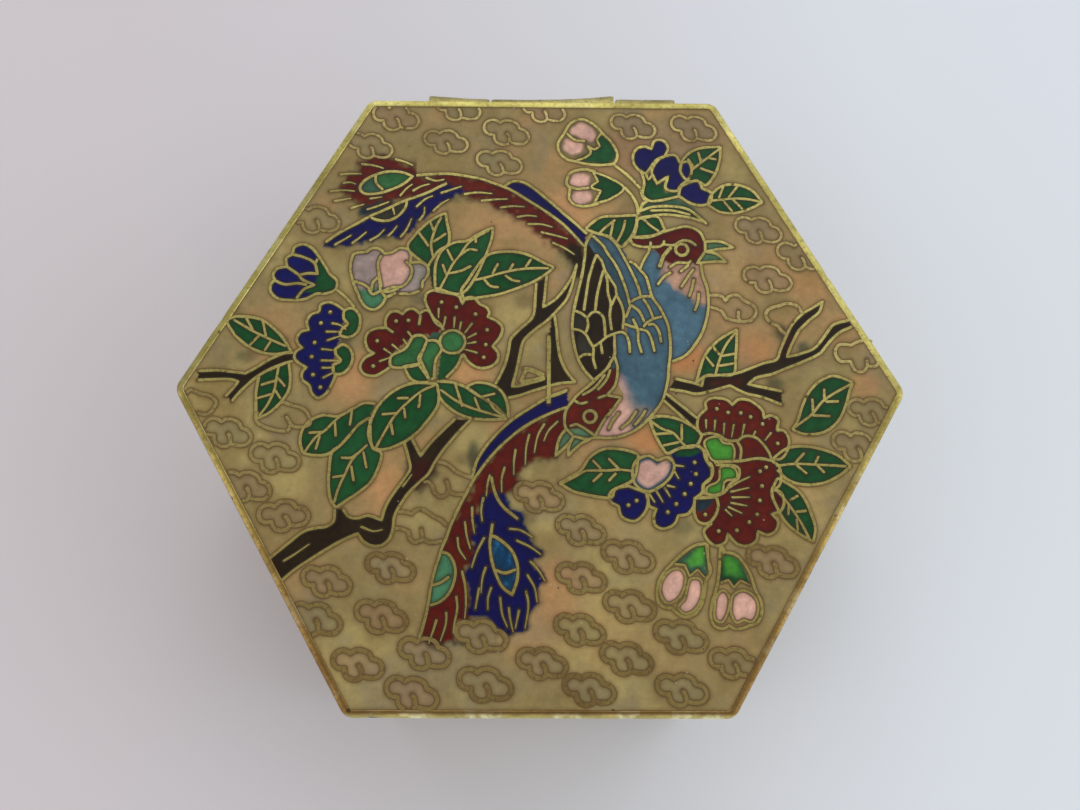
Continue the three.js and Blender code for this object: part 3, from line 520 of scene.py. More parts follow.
def second_bird(S):
    S.kind = "birds"
    upper = T("2.95,.1 .55,-.95 -1.4,-2.15 -3.4,-3.5 -4.9,-5 -6.3,-6.7 -7.2,-8.35 -7.55,-9.9")
    lower = T("3.05,-1.85 1.15,-2.6 -1,-3.65 -2.8,-4.9 -4.3,-6.25 -5.8,-7.9 -7.2,-9.9 -7.95,-11.25 -8.85,-13.05 -9.75,-15.05 -10.35,-16.85 -10.65,-17.55 -11.3,-19.7 -11.8,-21.85 -12.05,-23.85 -12.4,-25.45 -12.9,-27.3")
    right = T("1.6,-7.4 -.35,-7.6 -2,-9 -2.8,-10.6 -4.3,-12 -5.9,-12.4 -6.7,-14.4 -7.3,-16.6 -7.2,-18 -7.7,-19.6 -8,-21 -7.5,-22.5 -7.4,-24.8 -7.6,-26.4 -9.2,-27.7 -12.9,-27.7")
    S.fill("red", ring(lower, rev(right), T("1.6,-7.4 2.9,-4.4 3.05,-1.85")), 0.4, 0.55, clip=ring(lower, T("-12.9,-30 6,-30 6,-2")))
    S.fill("cobalt", ring(upper, rev(lower[:7])))
    S.wire(upper)
    S.wire(lower)
    S.fill("cobalt", T("-6.5,-12.3 -7.05,-14.6 -7.6,-16.5 -7.05,-17.7 -7.6,-19.4 -8.25,-20.1 -7.85,-21.4 -7.6,-23.4 -7.7,-24.8 -6,-25.2 -4.65,-26 -3.6,-26.9 -2.8,-26.8 -1.45,-26.25 -1.2,-24.9 -.2,-23.6 -.1,-21.85 .55,-21 -.65,-19.3 .15,-18.4 -.65,-17.3 -1.15,-16.1 -2.1,-15 -1.85,-13.8 -3.3,-13.1 -3.85,-11.9 -4.9,-11.5 -6,-12.1"), 0.16, 0.3)
    S.fill("red", T("-10.8,-24.2 -8.8,-24 -9,-27.3 -12.5,-27.4"), 0.3, 0.3)
    S.fill("cloud", T("-9.3,-26.6 -8.8,-25.5 -7.6,-25.4 -6,-25 -5,-26 -5,-28 -6.5,-28.6 -8,-27.6 -9,-27.6"), 0.15, 0.2)
    S.wire(T("-5.45,-9.8 -5.05,-11.55 -4.1,-13.15 -2.5,-14.5"))
    S.cell("teal", T("-5.35,-16.4 -5.4,-18.35 -4.9,-20.2 -4.1,-21.85 -3.05,-22.65c -2.5,-21 -2.5,-19.55 -3.05,-18.1 -4.1,-17"))
    S.wire(T("-5.25,-15 -5.45,-16.5"))
    S.wire(T("-4.9,-20 -3.85,-20.35 -2.65,-19.95"))
    half = T("-10.8,-18.1 -10,-18.35 -9.3,-19.55 -9.25,-21 -9.85,-22.5 -10.8,-23.45 -11.85,-23.85")
    S.fill("jade", ring(half, T("-11.95,-23.4 -11.8,-21.85 -11.3,-19.7 -10.8,-18.1")))
    S.wire(half)
    S.wire(T("-11.7,-21.7 -10.8,-21.4 -9.85,-20.75"))
    S.ticks([T(t) for t in (
        "-7.5,-13.15 -7.45,-14.6 -7.2,-16.1", "-8.3,-14.75 -8,-16.5 -7.6,-17.8", "-9.05,-16.5 -8.85,-17.8 -8.1,-18.9", "-6.3,-12.1 -6.5,-13.4 -6.4,-14.75",
        "-8.5,-20.1 -8.1,-21.85 -8,-23.7 -8.1,-25.2", "-9.05,-22.8 -8.9,-24.1 -9.2,-25.85 -9.25,-26.8", "-10.1,-24.5 -10.1,-25.7 -10.65,-27.6", "-11.1,-25.3 -11.85,-27.85",
        ".4,-3.8 -.35,-5.2 -.75,-7.15", "1.9,-3.5 .85,-4.6 .3,-5.8", "-1.3,-5 -1.65,-6.7 -1.75,-8.5", "-2.8,-6.7 -3,-8.2 -3,-9.6", "-4,-8.7 -4.3,-10.1 -4.3,-11.55", "-5.6,-9.6 -5.9,-10.8 -6,-12",
        "-6.1,-16.5 -6.9,-18.1 -7.45,-19.8", "-5.9,-19.7 -6.3,-21 -6.4,-22.5", "-5.3,-21.85 -5.65,-23 -5.65,-24.25", "-4.35,-22.9 -4.1,-24.65 -3.5,-26.1", "-2.3,-24.25 -2.7,-26.25",
        "-1.55,-22.25 -1.3,-23.7 -1.65,-26.25", "-1.45,-20.5 -.65,-21.85 -.35,-23.45", "-1.15,-19.05 -.25,-20 .5,-21.2", "-2.65,-16.8 -1.05,-17.55 .05,-18.35", "-3.45,-15.55 -2.25,-15.7 -.9,-16.5",
        "-3.4,-24 -3.2,-25.4 -2.9,-26.6", "-6.6,-21.9 -7,-24.2")], 0.8)

    # head, throat and beak
    crest_l = T("7.8,3 7.2,2.4 5.85,1 3.9,-.65c 2.8,-2.3 2.6,-3.8 2.8,-4.4")
    throat = T("8.2,5c 8.2,4.1 8.6,2.7 8.55,1.2 9.3,-.3c 8,-2.15 6.9,-3.5 5.7,-5.4c 7.5,-5.4 9.2,-5.1 10.8,-4.3 12,-3.2 13,-2 13.6,-1 14,.15 14.25,1.3 14.4,3.1 14.6,4.6c")
    S.fill("pink", throat)
    S.fill("mist", T("10.2,-6c 10,-3.6 10.1,-2.2 9.4,-.8 11,-.2 15,0 15,-6"), 0.7, 0.3, clip=throat)
    S.fill("steel", T("8.2,4.6 8.6,2.4 9,1.6 9.5,.6 9.9,-.4 10.6,-1.6 11.4,-1.8 12.8,-2.3 14.2,-.6 15,2 15,5 11,4.8"), 0.8, 0.2, clip=throat)
    S.fill("beak", T("2.8,-4.2 4.6,-4.1 6.4,-4.4 6,-5.3 5.4,-5.6 3.6,-5.25"))
    S.fill("red", ring(crest_l, T("2.8,-4.4 4.4,-4.3 6.2,-4.7 6.9,-3.5 8,-2.15 8.95,-.8 7.4,-.5 7.9,-.1 8.3,.9 8.6,2.7 7.8,3")), 0.1)
    S.wire(crest_l)
    for t in ("8.2,4.3 8.6,2.7 8.3,.7 7.4,-.5c 8.95,-.8c 8,-2.15 6.9,-3.5 6,-5.2", "7.4,-.5 6.3,-.85", "6.3,.1 7.35,1.3 7.8,2.5", "4.6,-.5 5.9,.3 7.2,1.9",
              "7.5,-4.4 8,-3.4 8.7,-2.5", "8.9,-4.3 9.8,-3.5 10.7,-2.3", "10.4,-3.9 11.2,-3 11.7,-2.2", "3.6,-1.1 4.4,-1.5 5.2,-1.3", "3.2,-4.1 3.9,-3.9 4.6,-4.2 5.9,-5.1"):
        S.wire(T(t), 0.95)
    S.cell("beak", T("2.8,-4.4c 2.05,-5.5 1.6,-7.45c 3,-6.1 3.6,-5.25c"))
    S.cell("beak", T("3.6,-5.25c 3.1,-6.4 3,-7.45c 4.2,-6.25 5.4,-5.6c"))
    S.cell("red", [(5.44 + 0.7 * math.cos(a), -2.98 + 0.7 * math.sin(a)) for a in np.linspace(0, 2 * math.pi, 9)[:-1]], 1.1)
def flowers(S):
    S.kind = "flowers"

    def cell(colour, *texts, closed=True, w=1.0):
        runs = [T(t) for t in texts]
        S.fill(colour, ring(*runs))
        for r in runs:
            S.wire(r, w)

    # two dark red blossoms over green hearts
    S.fill("red", T("-13.1,11.35 -12.35,11.7 -11.6,11.55 -10.5,11.35 -9.45,11.05 -9,10.1c -8.7,10.75 -7.8,10.9 -7.05,10.1 -6.25,9.5 -6.1,8.6c -5.2,8.15 -4.45,7.4 -4.6,6.35 -5.5,5.1c -4.9,4.35 -4.9,3.45 -5.8,2.7 -7.2,2.6 -8.25,3.3 -8.85,4.2 -11.1,5 -11.1,6.95c -11.4,7.55 -12.2,8.3 -12.65,9.05 -13.1,9.95"))
    S.wire(T("-13.1,9.95 -13.3,10.7 -13.1,11.35 -12.35,11.7 -11.6,11.55 -10.5,11.35 -9.45,11.05 -9,10.1c -8.7,10.75 -7.8,10.9 -7.05,10.1c -6.25,9.7 -5.9,9.1 -6.1,8.6c -5.2,8.15 -4.45,7.4 -4.6,6.35 -5.5,5.1c -4.9,4.35 -4.9,3.45 -5.8,2.7 -7.2,2.6 -8.25,3.3 -8.85,4.2"))
    S.wire(T("-13.1,9.95 -12.65,9.05 -12.2,8.3 -11.4,7.55 -11.1,6.95"))
    S.cell("fern", [(-10.05 + 1.45 * math.cos(a), 5.6 + 1.35 * math.sin(a)) for a in np.linspace(0, 2 * math.pi, 11)[:-1]])
    S.ticks([T(t) for t in ("-10.9,8.6 -11.1,7.4", "-9.85,8.6 -9.9,7.25", "-9.1,8 -9.3,6.95", "-7.85,7.85 -8.7,6.65", "-7.35,6.65 -8.4,6.05", "-7.35,5.6 -8.4,5.4", "-7.2,4.3 -8.7,4.75", "-11.7,9.6 -11.7,8.4")])
    S.dots([(-6.15, 7.05), (-7.5, 8.9), (-9.7, 9.7), (-11.4, 10.3), (-6.3, 5.3), (-6.5, 3.8)])
    S.fill("red", T("-17.65,7.25 -17.7,8.15 -17.2,9.05 -16.4,9.2 -15.8,8.85c -15.35,9.35 -14.6,9.5 -13.85,8.9c -13.3,9.7 -12.9,9.3 -12.65,9.05 -12,7.85 -11.4,7.4 -12,6.4 -13.7,6.5 -14.8,5.9 -16.9,4 -17.05,2.55 -17.65,2.1 -18.7,1.55 -19.9,1.8 -20.35,2.55 -19.9,3.6 -18.85,4.2c -19.45,4.5 -19.9,5.6 -19.6,6.65 -18.7,7.1"))
    S.wire(T("-16.75,6.65 -17.65,7.25c -17.7,8.15 -17.2,9.05 -16.4,9.2 -15.8,8.85c -15.35,9.35 -14.6,9.5 -13.85,8.9c -13.3,9.3 -12.9,9.3 -12.65,9.05 -12,7.85 -11.4,7.4"))
    S.wire(T("-17.65,7.2 -18.7,7.1 -19.6,6.65 -19.9,5.6 -19.45,4.5 -18.85,4.2c -19.9,3.6 -20.35,2.55 -19.9,1.8 -18.7,1.55 -17.65,2.1 -17.05,2.55"))
    S.wire(T("-13.75,8.75 -13.9,7.55"))
    S.cell("fern", T("-17.05,3.3 -16.9,3.9 -15.35,4.8 -14.45,6.2 -13.7,6.35 -13,5.9 -13.25,4.8 -13.85,3.6 -13.7,3 -15.65,2.55 -16.9,2.7"))
    S.ticks([T(t) for t in ("-18.25,3.25 -17,3.75", "-17.8,4.75 -16.75,4.05", "-16.9,5.25 -15.95,4.5", "-15.65,5.9 -15.05,5.1", "-15.15,6.8 -14.6,6.05")])
    S.dots([(-18.55, 5.65), (-15.1, 8.1), (-18.9, 2.7), (-16.5, 8)])
    S.fill("sage", T("-12.95,5.9c -12.4,6.6 -11.25,6.8c -11.3,5.9 -12,5.7"))
    S.cell("fern", T("-12.95,5.7c -11.9,5.7 -11.25,4.8 -11.9,3.45 -12.05,1.35c -12.5,1.2 -12.95,2.1 -13.7,3.6c"))
    S.cell("leaf", T("-15.5,2.7c -13.85,3c -12.8,1.5 -12.6,1 -14.45,1.05"))
    S.fill("leaf", T("-11.3,4.9c -9.4,4.2 -8.7,4.1c -9.5,2.6 -10.6,1.3 -11.7,1.1c"))
    S.wire(T("-8.9,4.1 -9.6,2.6 -10.7,1.4"))

    # pale pink flower, upper left
    S.fill("blush", T("-21.95,14.05 -21.85,15.3 -21.6,16.05 -20.15,16.3 -19.45,16.8 -18.6,16.6 -18.05,16.1 -17.2,16.3 -16.3,16.8 -15.45,16.65 -15.1,15.05c -13.75,15.05 -13.05,14.45 -13.05,13.5 -13.6,12.75 -13.75,11.9 -14.6,11.35 -16.3,11.3 -17.4,10.9 -18.15,9.95 -19,9.35 -20,9.65 -20.75,10.8 -21.45,12.35"))
    S.fill("pink", T("-18.5,12.3 -18.8,14.8 -18.3,16 -16.4,16.6 -15.5,16 -15.3,14.2 -16,12.6 -17.2,12.1"), 0.35)
    S.fill("mist", T("-14.8,12.6 -14.9,15 -13.2,14.8 -13.1,13 -14.1,11.8"), 0.3)
    S.fill("jade", T("-20.9,11.6 -20.2,11.7 -19.7,12 -18.6,12 -17.9,11.4 -17,11.7 -17.6,10.6 -18.4,9.7 -19.4,9.3 -20.3,9.9"), 0.35, 0.2)
    S.wire(T("-20.9,10.9c -20,9.65 -19,9.35 -18.15,9.95 -17.75,10.8c -18.4,11.6c -19.3,11.2 -19.8,11.9c"))
    for t in ("-21.95,14.05 -21.85,15.3 -21.6,16.05 -20.15,16.3c -19.45,16.8 -18.6,16.6 -18.05,16.1c -17.2,16.3 -16.3,16.8 -15.45,16.65 -15.05,16.05 -15.1,15.05",
              "-21.95,14.05 -21.45,12.35 -20.75,10.8", "-17.75,10.8 -16.6,11.35", "-15.1,15.05 -13.75,15.05 -13.05,14.45 -13.05,13.5 -13.6,12.75c -13.75,11.9 -14.6,11.35 -16.3,11.3",
              "-18.45,15.9 -18.8,15.05 -18.65,13.75 -18.3,12.05", "-15.6,15.2 -14.9,14.35 -15.05,13.2 -15.9,12.2 -17.05,12.05 -18.3,11.5",
              "-21.45,12.75 -20.3,12.35 -19.4,11.65c -19.3,12.6 -18.6,13.35c -18.4,11.55c -17.4,11.5 -16.3,11.9"):
        S.wire(T(t))

    # blue bud and blue side blossom on the left
    bud = T("-28.65,16 -28.5,16.75 -27.5,17.2 -26.5,16.75 -25.65,15.75 -24.95,14.75 -24.25,13.6 -23.4,12.75 -23.55,11.75 -24.5,11.25 -25.65,11.2 -26.8,10.6 -28.5,10.4 -30.05,10.6 -30.9,11.45 -30.9,12.3 -30.5,12.9 -30.75,13.3 -30.35,14.15 -29.2,14.45c -29.35,15.45")
    S.cell("cobalt", bud)
    S.fill("leaf", T("-25.7,15.3c -26.1,14.9 -25.65,13.6c -25.9,12.3c -27.1,11.4 -25.7,11.3 -24.5,11.3 -23.6,11.8 -23.5,12.7 -24.3,13.6 -25,14.7"), 0.1)
    for t in ("-28.65,15.95 -27.35,15.6 -26.1,14.9 -25.65,13.6c -26.8,13.65 -27.8,13.45c -27.35,12.9 -25.95,12.25c -27.1,11.75 -27.95,10.6", "-30.5,12.75 -29.35,12.3 -27.8,12.45 -26.8,12.25",
              "-25.75,15.45 -25.95,14.9", "-23.45,11.75 -22.25,10.75 -21.3,9.6", "-29.2,14.45 -28.4,13.9 -27.8,13.45"):
        S.wire(T(t))
    edge = T("-25.25,9.05c -26.1,8.75 -26.6,7.9 -26.35,6.9c -27.2,6.65 -27.65,5.8 -27.35,5.1 -26.95,4.8c -27.65,4.35 -27.8,3.65 -27.2,2.95 -26.35,2.5c -26.8,1.95 -26.8,1.1 -25.95,.4 -25.65,-.45 -24.95,-1.05 -24.1,-.6 -23.4,.7 -23.05,1.8")
    S.fill("cobalt", ring(edge, T("-23.05,1.8 -23.4,2.8 -23.1,4.6 -22.8,6.3 -22.4,8.2 -22.4,9.2 -23.1,9.75 -24.25,10.2 -25.1,9.9 -25.25,9.05")))
    S.wire(edge)
    S.wire(T("-25.25,9.05 -25.1,9.9 -24.25,10.2 -23.1,9.75 -22.4,9.2"))
    S.cell("leaf", T("-22.4,9.2 -21.55,9.5 -20.7,8.75 -20.55,7.65 -20.85,6.65 -21.8,6.05 -22.8,6.35 -22.55,7.05c -21.95,7.65 -22.4,8.2"))
    S.cell("leaf", T("-23.25,4.65c -22.4,5.2 -21.55,4.65 -21.25,3.65 -21.55,2.5 -22.4,1.75 -23.25,1.8 -23.4,2.8c -22.55,3.3 -23.1,3.95"))
    S.ticks([T(t) for t in ("-23.8,7.7 -22.9,7.5 -22.1,6.95", "-24.4,6.7 -22.7,6.7", "-24.25,5.65 -22.8,6.2", "-24.8,4.65 -23.25,4.5", "-24.8,3.3 -22.55,3.3", "-24.65,2.45 -23.4,2.5", "-24.5,1.3 -23.4,1.9")])
    S.dots([(-25, 7.7), (-25.6, 5.4), (-25.85, 3.75), (-25.6, 1.65), (-24, 9), (-24.7, .2)])

    # pink buds above the wing
    bud = "2.3,30.9 1.9,30 2.05,29 2.9,28.1 3.95,27.8 5.3,27.5 7.3,27.4 8.5,27.65 8.9,28.7 8.2,30.3 7.2,31.4 6.1,32.6 4.65,33.25 3.35,32.65 2.7,31.6"
    S.fill("cloud", T(bud))
    S.fill("pink", T("3.4,31.4 3.9,32.5 5.1,32.7 6.1,31.8 6.3,30.8 5.5,30.4 4.2,31"), 0.22, 0.2)
    S.fill("pink", T("2.5,29.8 3,30.7 4.2,30.6 4.8,29.8 4.6,29 3.6,28.8 2.7,29.1"), 0.22, 0.2)
    S.fill("leaf", T("4,28.1 5.6,28.9 5.5,29.7c 6.2,29.5 6.7,29.8c 6.5,30.8 7.1,31.3c 8.3,30 8.7,28.5 7.9,27.6 6.2,27.6"), 0.15, 0.15)
    S.wire(T("4.1,27.95c 5.2,28.4 5.75,29 5.4,29.8c 6.2,29.4 6.8,29.8c 6.5,30.7 7.1,31.5c"), 0.85)
    S.wire(T(bud), 1.0, True)
    S.wire(T("2.9,31.4 3.8,30.6 5.1,30.4"))
    S.wire(T("8.5,27.45 10.1,26.05 11.55,24.45"), 1.1)
    S.fill("cloud", T("2.9,25.45 3.35,26.35 4.8,26.8 6.3,26.5 8,25.9 9.65,24.6 8.2,23.3 6.65,22.55 5.1,22.15 3.8,22.4 3.2,23.1 3.25,24 2.9,24.9"))
    S.fill("pink", T("3.4,25.3 3.8,26.2 5,26.2 5.7,25.4 5.4,24.7 4.1,24.5 3.5,24.8"), 0.22, 0.2)
    S.fill("pink", T("3.5,23.3 4.1,24 5.4,24 5.8,23.2 5,22.5 3.8,22.5"), 0.22, 0.2)
    S.cell("leaf", T("6,26.5c 6.6,25.3c 5.8,24.6 6.9,24.1c 6.1,22.5c 8,23.1 9.6,24.5 8,25.7"), 0.85)
    S.wire(T("6.3,26.55 4.8,26.8 3.35,26.35 2.9,25.45 2.9,24.9 3.3,24.5c 3.25,24 3.2,23.1 3.8,22.4 5.1,22.15 6.65,22.55"))
    S.wire(T("3.3,24.6 4.2,24.35 5.55,24.5"))
    S.wire(T("9.65,24.6 10.55,23.55 11.1,22.25 11.25,21.2"), 1.1)

    # blue flower with green calyx at the top
    S.cell("cobalt", T("11.5,26.7 10.8,27.6 10.75,28.7 11.2,29.5 12.1,29.8 12.9,29.5c 13.3,30.5 14.3,30.6 14.9,29.7 14.5,28.6c 13.5,28.1 12.7,27 12.2,26.4"))
    S.cell("cobalt", T("14.6,28.6c 15.7,28.7 16.3,27.7c 17.2,27.9 17.6,26.7 17.1,25.6 16.3,24.9 15.8,24.2 14.5,24.5 14.8,26c 13.5,25.1c 12.9,26.6 13.7,28.1"))
    S.cell("cobalt", T("17.1,25.2c 18.3,25.5 18.8,24.5c 19.8,24 19.7,22.8 18.6,22.4 17.3,22.7 16,23.6c 16.3,24.7"))
    S.fill("leaf", T("11.8,26.7c 12,25 11.7,23.5 12.6,22.9 14,23 15.9,23.5 15.8,24.2 14.4,24.1 14.6,25.9c 13.5,24.9c 12.9,26.5 12.4,25.7"), 0.12, 0.1)
    S.wire(T("11.6,26.8 12,25.2 11.8,23.6 12.6,22.9 14,23 16,23.5"))
    S.wire(T("12.2,26.4 12.5,25.6 13,26.3c 13.5,25c"), 0.85)
    S.ticks([T("11.55,24.3 11.7,23.7 12,23"), T("11.4,21.5 11.85,22.55 12.6,23")], 1.1)

    # the large cluster on the right: dark red above and below, blue on the left, green hearts
    top = T("17.9,-5.2 17.45,-4.2 17.6,-2.9 18.5,-2c 18.4,-1.3 19,-.8 19.9,-.75 20.8,-.95 21.4,-1.55c 22.1,-.9 23.1,-.9 24,-1.4 24.8,-2.2 24.9,-3c 25.7,-2.7 26.5,-3.2 26.3,-4.3c 27.1,-4.5 27.6,-5.6 27.3,-6.8 26.6,-7.6 25.65,-7.7")
    heart = T("17.95,-4.95 18.85,-4.8 19.9,-5.1 20.65,-5.6 21.9,-5.6c 22.65,-5.1 23.85,-5.25 24.75,-6.05 25.35,-7.1 25.5,-7.7")
    S.fill("red", ring(top, T("25.65,-7.7 22,-7.8 18,-7.6 17.5,-4.35")))
    S.fill("red", T("22.05,-7.7c 22.2,-6.5 21.8,-5.6 23,-5.2 24.3,-5.7 25.2,-6.9 25.5,-7.7c"))
    fan = T("25.5,-7.85 26.3,-8.5 26.5,-9.8 26.2,-10.7 25.5,-11.1c 26.4,-11.4 26.7,-12.5 26.3,-13.4 25.3,-13.8c 26,-14.6 25.6,-15.7 24.7,-16.1 23.7,-15.7c 23.5,-16.7 22.5,-17.3 21.4,-17.1 20.4,-16c 20.1,-16.9 19.1,-17.3 18.2,-16.7 17.8,-15.7 18.7,-14.8")
    S.fill("red", ring(fan, T("18.7,-14.8 19.4,-13.4 19.3,-11.95 20.2,-11.35 21.4,-9.8 21.4,-8.45 21,-7.8 25.5,-7.85")))
    S.cell("red", T("19.3,-11.95c 19.45,-13 18.85,-14.35 18.1,-14.9 17.2,-14.65 16.8,-13.8 16.9,-12.1c"))
    S.fill("deep", T("17,-12.2c 17,-13.3 17.6,-13.6 18.6,-12.9 19.2,-12c"), 0.2)
    half = ring(T("14.15,-7.1 15.35,-6.5 17.2,-6.25 17.95,-6.65 18.25,-7.7 18.85,-8.9 18.7,-9.95 17.85,-10.6c 17.7,-11.5 16.9,-12.15c 16.75,-13 16.1,-13.85 15.05,-14.05c 14.6,-14.95 13.4,-15.5 12.5,-15.1 12.35,-14.05 12.65,-13.3c 11.9,-13 11.75,-12.1 11.6,-11.35"))
    S.fill("cobalt", ring(half, T("11.6,-11.2 12.65,-11.05 14,-9.95 14.75,-8.9 14.6,-7.85 14.15,-7.1")))
    S.wire(half)
    S.fill("leaf", T("14.8,-7.4c 15.3,-6.7 17,-6.5 17.9,-6.8c 16.6,-7.4"), 0.12)
    S.cell("cobalt", T("11.6,-11.5c 11.75,-12.7 11.25,-13.9 10.2,-14.65 8.9,-14.2 8.5,-13c 7.7,-12.6 7.5,-11.8 8.2,-11.1 9.6,-10.8c"))
    S.fill("cobalt", T("9.6,-10.9c 10.2,-10.2 11,-11 11.8,-11.3c 11.5,-12.4 10.2,-12"))
    S.fill("steel", T("10.1,-9.1 10.5,-8 11.9,-7.4 12.9,-7.9 14.7,-8.2 14.4,-9.7 13,-10.9 11.7,-11.4 10.4,-10.6"))
    S.fill("pink", T("10.5,-9.05 10.95,-8.3 12.05,-7.9 12.8,-8.45c 13.55,-8 14.25,-8.3 13.85,-9.5 12.8,-10.4 11.75,-10.9 10.8,-10.25"), 0.15)
    S.wire(T("10.1,-9.1 10.5,-8 11.9,-7.4 12.9,-7.9c 14.1,-7.6 14.7,-8.3 14.3,-9.7 13,-10.9 11.7,-11.4 10.4,-10.6"), 1.0, True)
    S.fill("red", T("17.4,-6.3c 18.4,-7.9 18.9,-9.6 18,-10.6 17.9,-11.6c 19.2,-11.9 20.3,-11.4 21.9,-9.8 22,-8.7 21.3,-8.3 19,-8.3 22,-7.8 22.1,-6.6 21.8,-5.6 20.6,-5.6 19.9,-5.1 18.85,-4.8"))
    S.cell("bright", T("18.2,-5.7 19.6,-5.2 20.3,-5.9 21.25,-6.05 21.3,-7.7 20.2,-7.95 19,-7.85 18.5,-7"), 0.8)
    S.cell("bright", T("19.9,-8.6 21.4,-8.75 21.6,-9.8 20.3,-10.2 19.9,-11.45 18.3,-11.6 18.3,-10.9 19.6,-10.1"), 0.8)
    for r in (top, heart, fan):
        S.wire(r)
    for t in ("17.5,-6.2 18.25,-7.1 18.4,-7.85 18.9,-8.45 18.85,-9.65 17.95,-10.55 17.95,-11.5c 19.15,-11.8 20.2,-11.35 20.95,-10.4 21.8,-9.8 21.9,-8.75 21.4,-8.45 19.3,-8.35",
              "22.05,-7.7 22.2,-6.5 21.75,-5.6", "19.15,-8.15 20.35,-8 22.05,-7.9 24.15,-7.6 25.5,-7.85"):
        S.wire(T(t))
    S.ticks([T(t) for t in ("19.45,-3.25 19.3,-4.5", "20.45,-3.6 20.3,-4.95", "21.5,-3.75 21.2,-5.25", "22.7,-3.7 22.35,-5.1", "23.9,-4.5 23.55,-5.1", "25.65,-4.65 24.9,-5.6",
                            "20.65,-10.9 21.9,-10.2 23.1,-9.65", "20.8,-11.35 22.95,-10.9", "20.95,-11.95 22.95,-11.95", "20.8,-12.55 22.65,-12.9", "20.5,-13 22.05,-13.75", "20.2,-13.3 20.95,-14.05",
                            "12.65,-11.2 13.4,-12.55", "13.55,-10.9 14.2,-11.95", "13.85,-10.7 14.75,-10.9", "14.75,-8.45 15.8,-8.55", "14.6,-8.9 15.2,-9.95", "18.4,-3.2 18.4,-4.3", "11.9,-11.6 12.5,-12.6")])
    S.dots([(19.65, -2), (22.3, -2.45), (23.4, -2.9), (20.9, -2.4), (24.7, -3.7), (26.4, -4.4), (26.3, -5.9), (24.2, -9.05), (24.35, -10.7), (24.05, -12.3), (23.7, -13.85), (22.8, -14.7), (21.4, -15.6), (19.4, -15.7),
            (17, -8.1), (17.1, -9.4), (16.5, -10.5), (15.8, -11.65), (14.85, -12.75), (13.9, -13.65), (9.6, -12.9), (10.5, -12.4), (24.9, -8.6), (18, -13.9)])

    # two hanging pink buds
    left = T("18.05,-17.05 16.75,-17.3 15.55,-18.05 14.5,-19 13.5,-20 12.75,-21.2 12.55,-22.45 12.75,-23.55 13.5,-24 14.15,-24c 14.6,-24.5 15.45,-24.95 16.55,-24.65 17.3,-23.65 17.65,-22.45 17.85,-21.05c 18.4,-20 18.15,-18.7 18.05,-17.05")
    S.fill("ground", left)
    S.cell("pink", T("14.2,-19.9 13.2,-20.9 12.9,-22.4 13.6,-23.5 14.7,-23.1 15.5,-21.8 15.6,-20.4 15.1,-19.8"), 0.8)
    S.cell("pink", T("16.2,-20.9 17.2,-20.9 17.5,-21.7 17.2,-23.2 16.4,-24.3 15.4,-24.6 14.8,-23.9 15.5,-23"), 0.8)
    S.fill("sage", T("17.8,-17.2 16,-18 14.5,-19.3 15.6,-19.4 16.1,-20.6 17,-19.9 17.85,-20.85 18.1,-19.5"), 0.2)
    S.fill("bright", T("17.7,-17.3 16.5,-18 15.9,-18.9 16.4,-19.6 17.6,-19.4"), 0.4, 0.3)
    S.wire(T("14.5,-19.3 15.6,-19.4c 16.1,-20.6c 17,-19.9c 17.85,-20.85"), 0.8)
    S.wire(left)
    right = T("19.9,-18.15 19.6,-17.05 20,-17.9 21.2,-18.25 22.05,-19.2 22.8,-20.65 23.15,-21.95 23.7,-23.2 23.75,-24.5 23.25,-25.5 22.4,-25.8 21.75,-26.05 20.85,-26.15 20.2,-25.8c 19.6,-26.15 18.7,-25.95 18.3,-25.05 18.4,-23.65 18.8,-22.35 19.15,-21.05 19.35,-19.75 19.45,-18.9")
    S.fill("ground", right)
    S.cell("pink", T("19,-22.6 19.7,-22.1 20.3,-22.8 20.1,-24.4 19.4,-25.5 18.75,-25.2 18.7,-24"), 0.8)
    S.cell("pink", T("20.7,-22.7 21.6,-22.1 22.5,-22.3 23.3,-23.2 23.3,-24.5 22.7,-25.4 21.8,-25.2c 21,-25.5 20.5,-24.6 20.5,-23.5"), 0.8)
    S.fill("leaf", T("20,-18.2 21.2,-18.6 22.1,-19.9 22.6,-21.6 21.6,-21 20.85,-21.8 20.3,-21 19.45,-21.3 19.4,-19.6"), 0.2)
    S.fill("bright", T("20.1,-18.5 21.2,-18.9 21.6,-20.2 20.2,-20.2"), 0.45, 0.3)
    S.wire(T("19.45,-21.3 20.3,-21c 20.85,-21.8c 21.6,-21c 22.6,-21.5"), 0.8)
    S.wire(right)
    S.ticks([T("18.1,-17.1 18.15,-18.7 18.3,-20"), T("19.6,-17.1 19.4,-18.6")], 1.0)


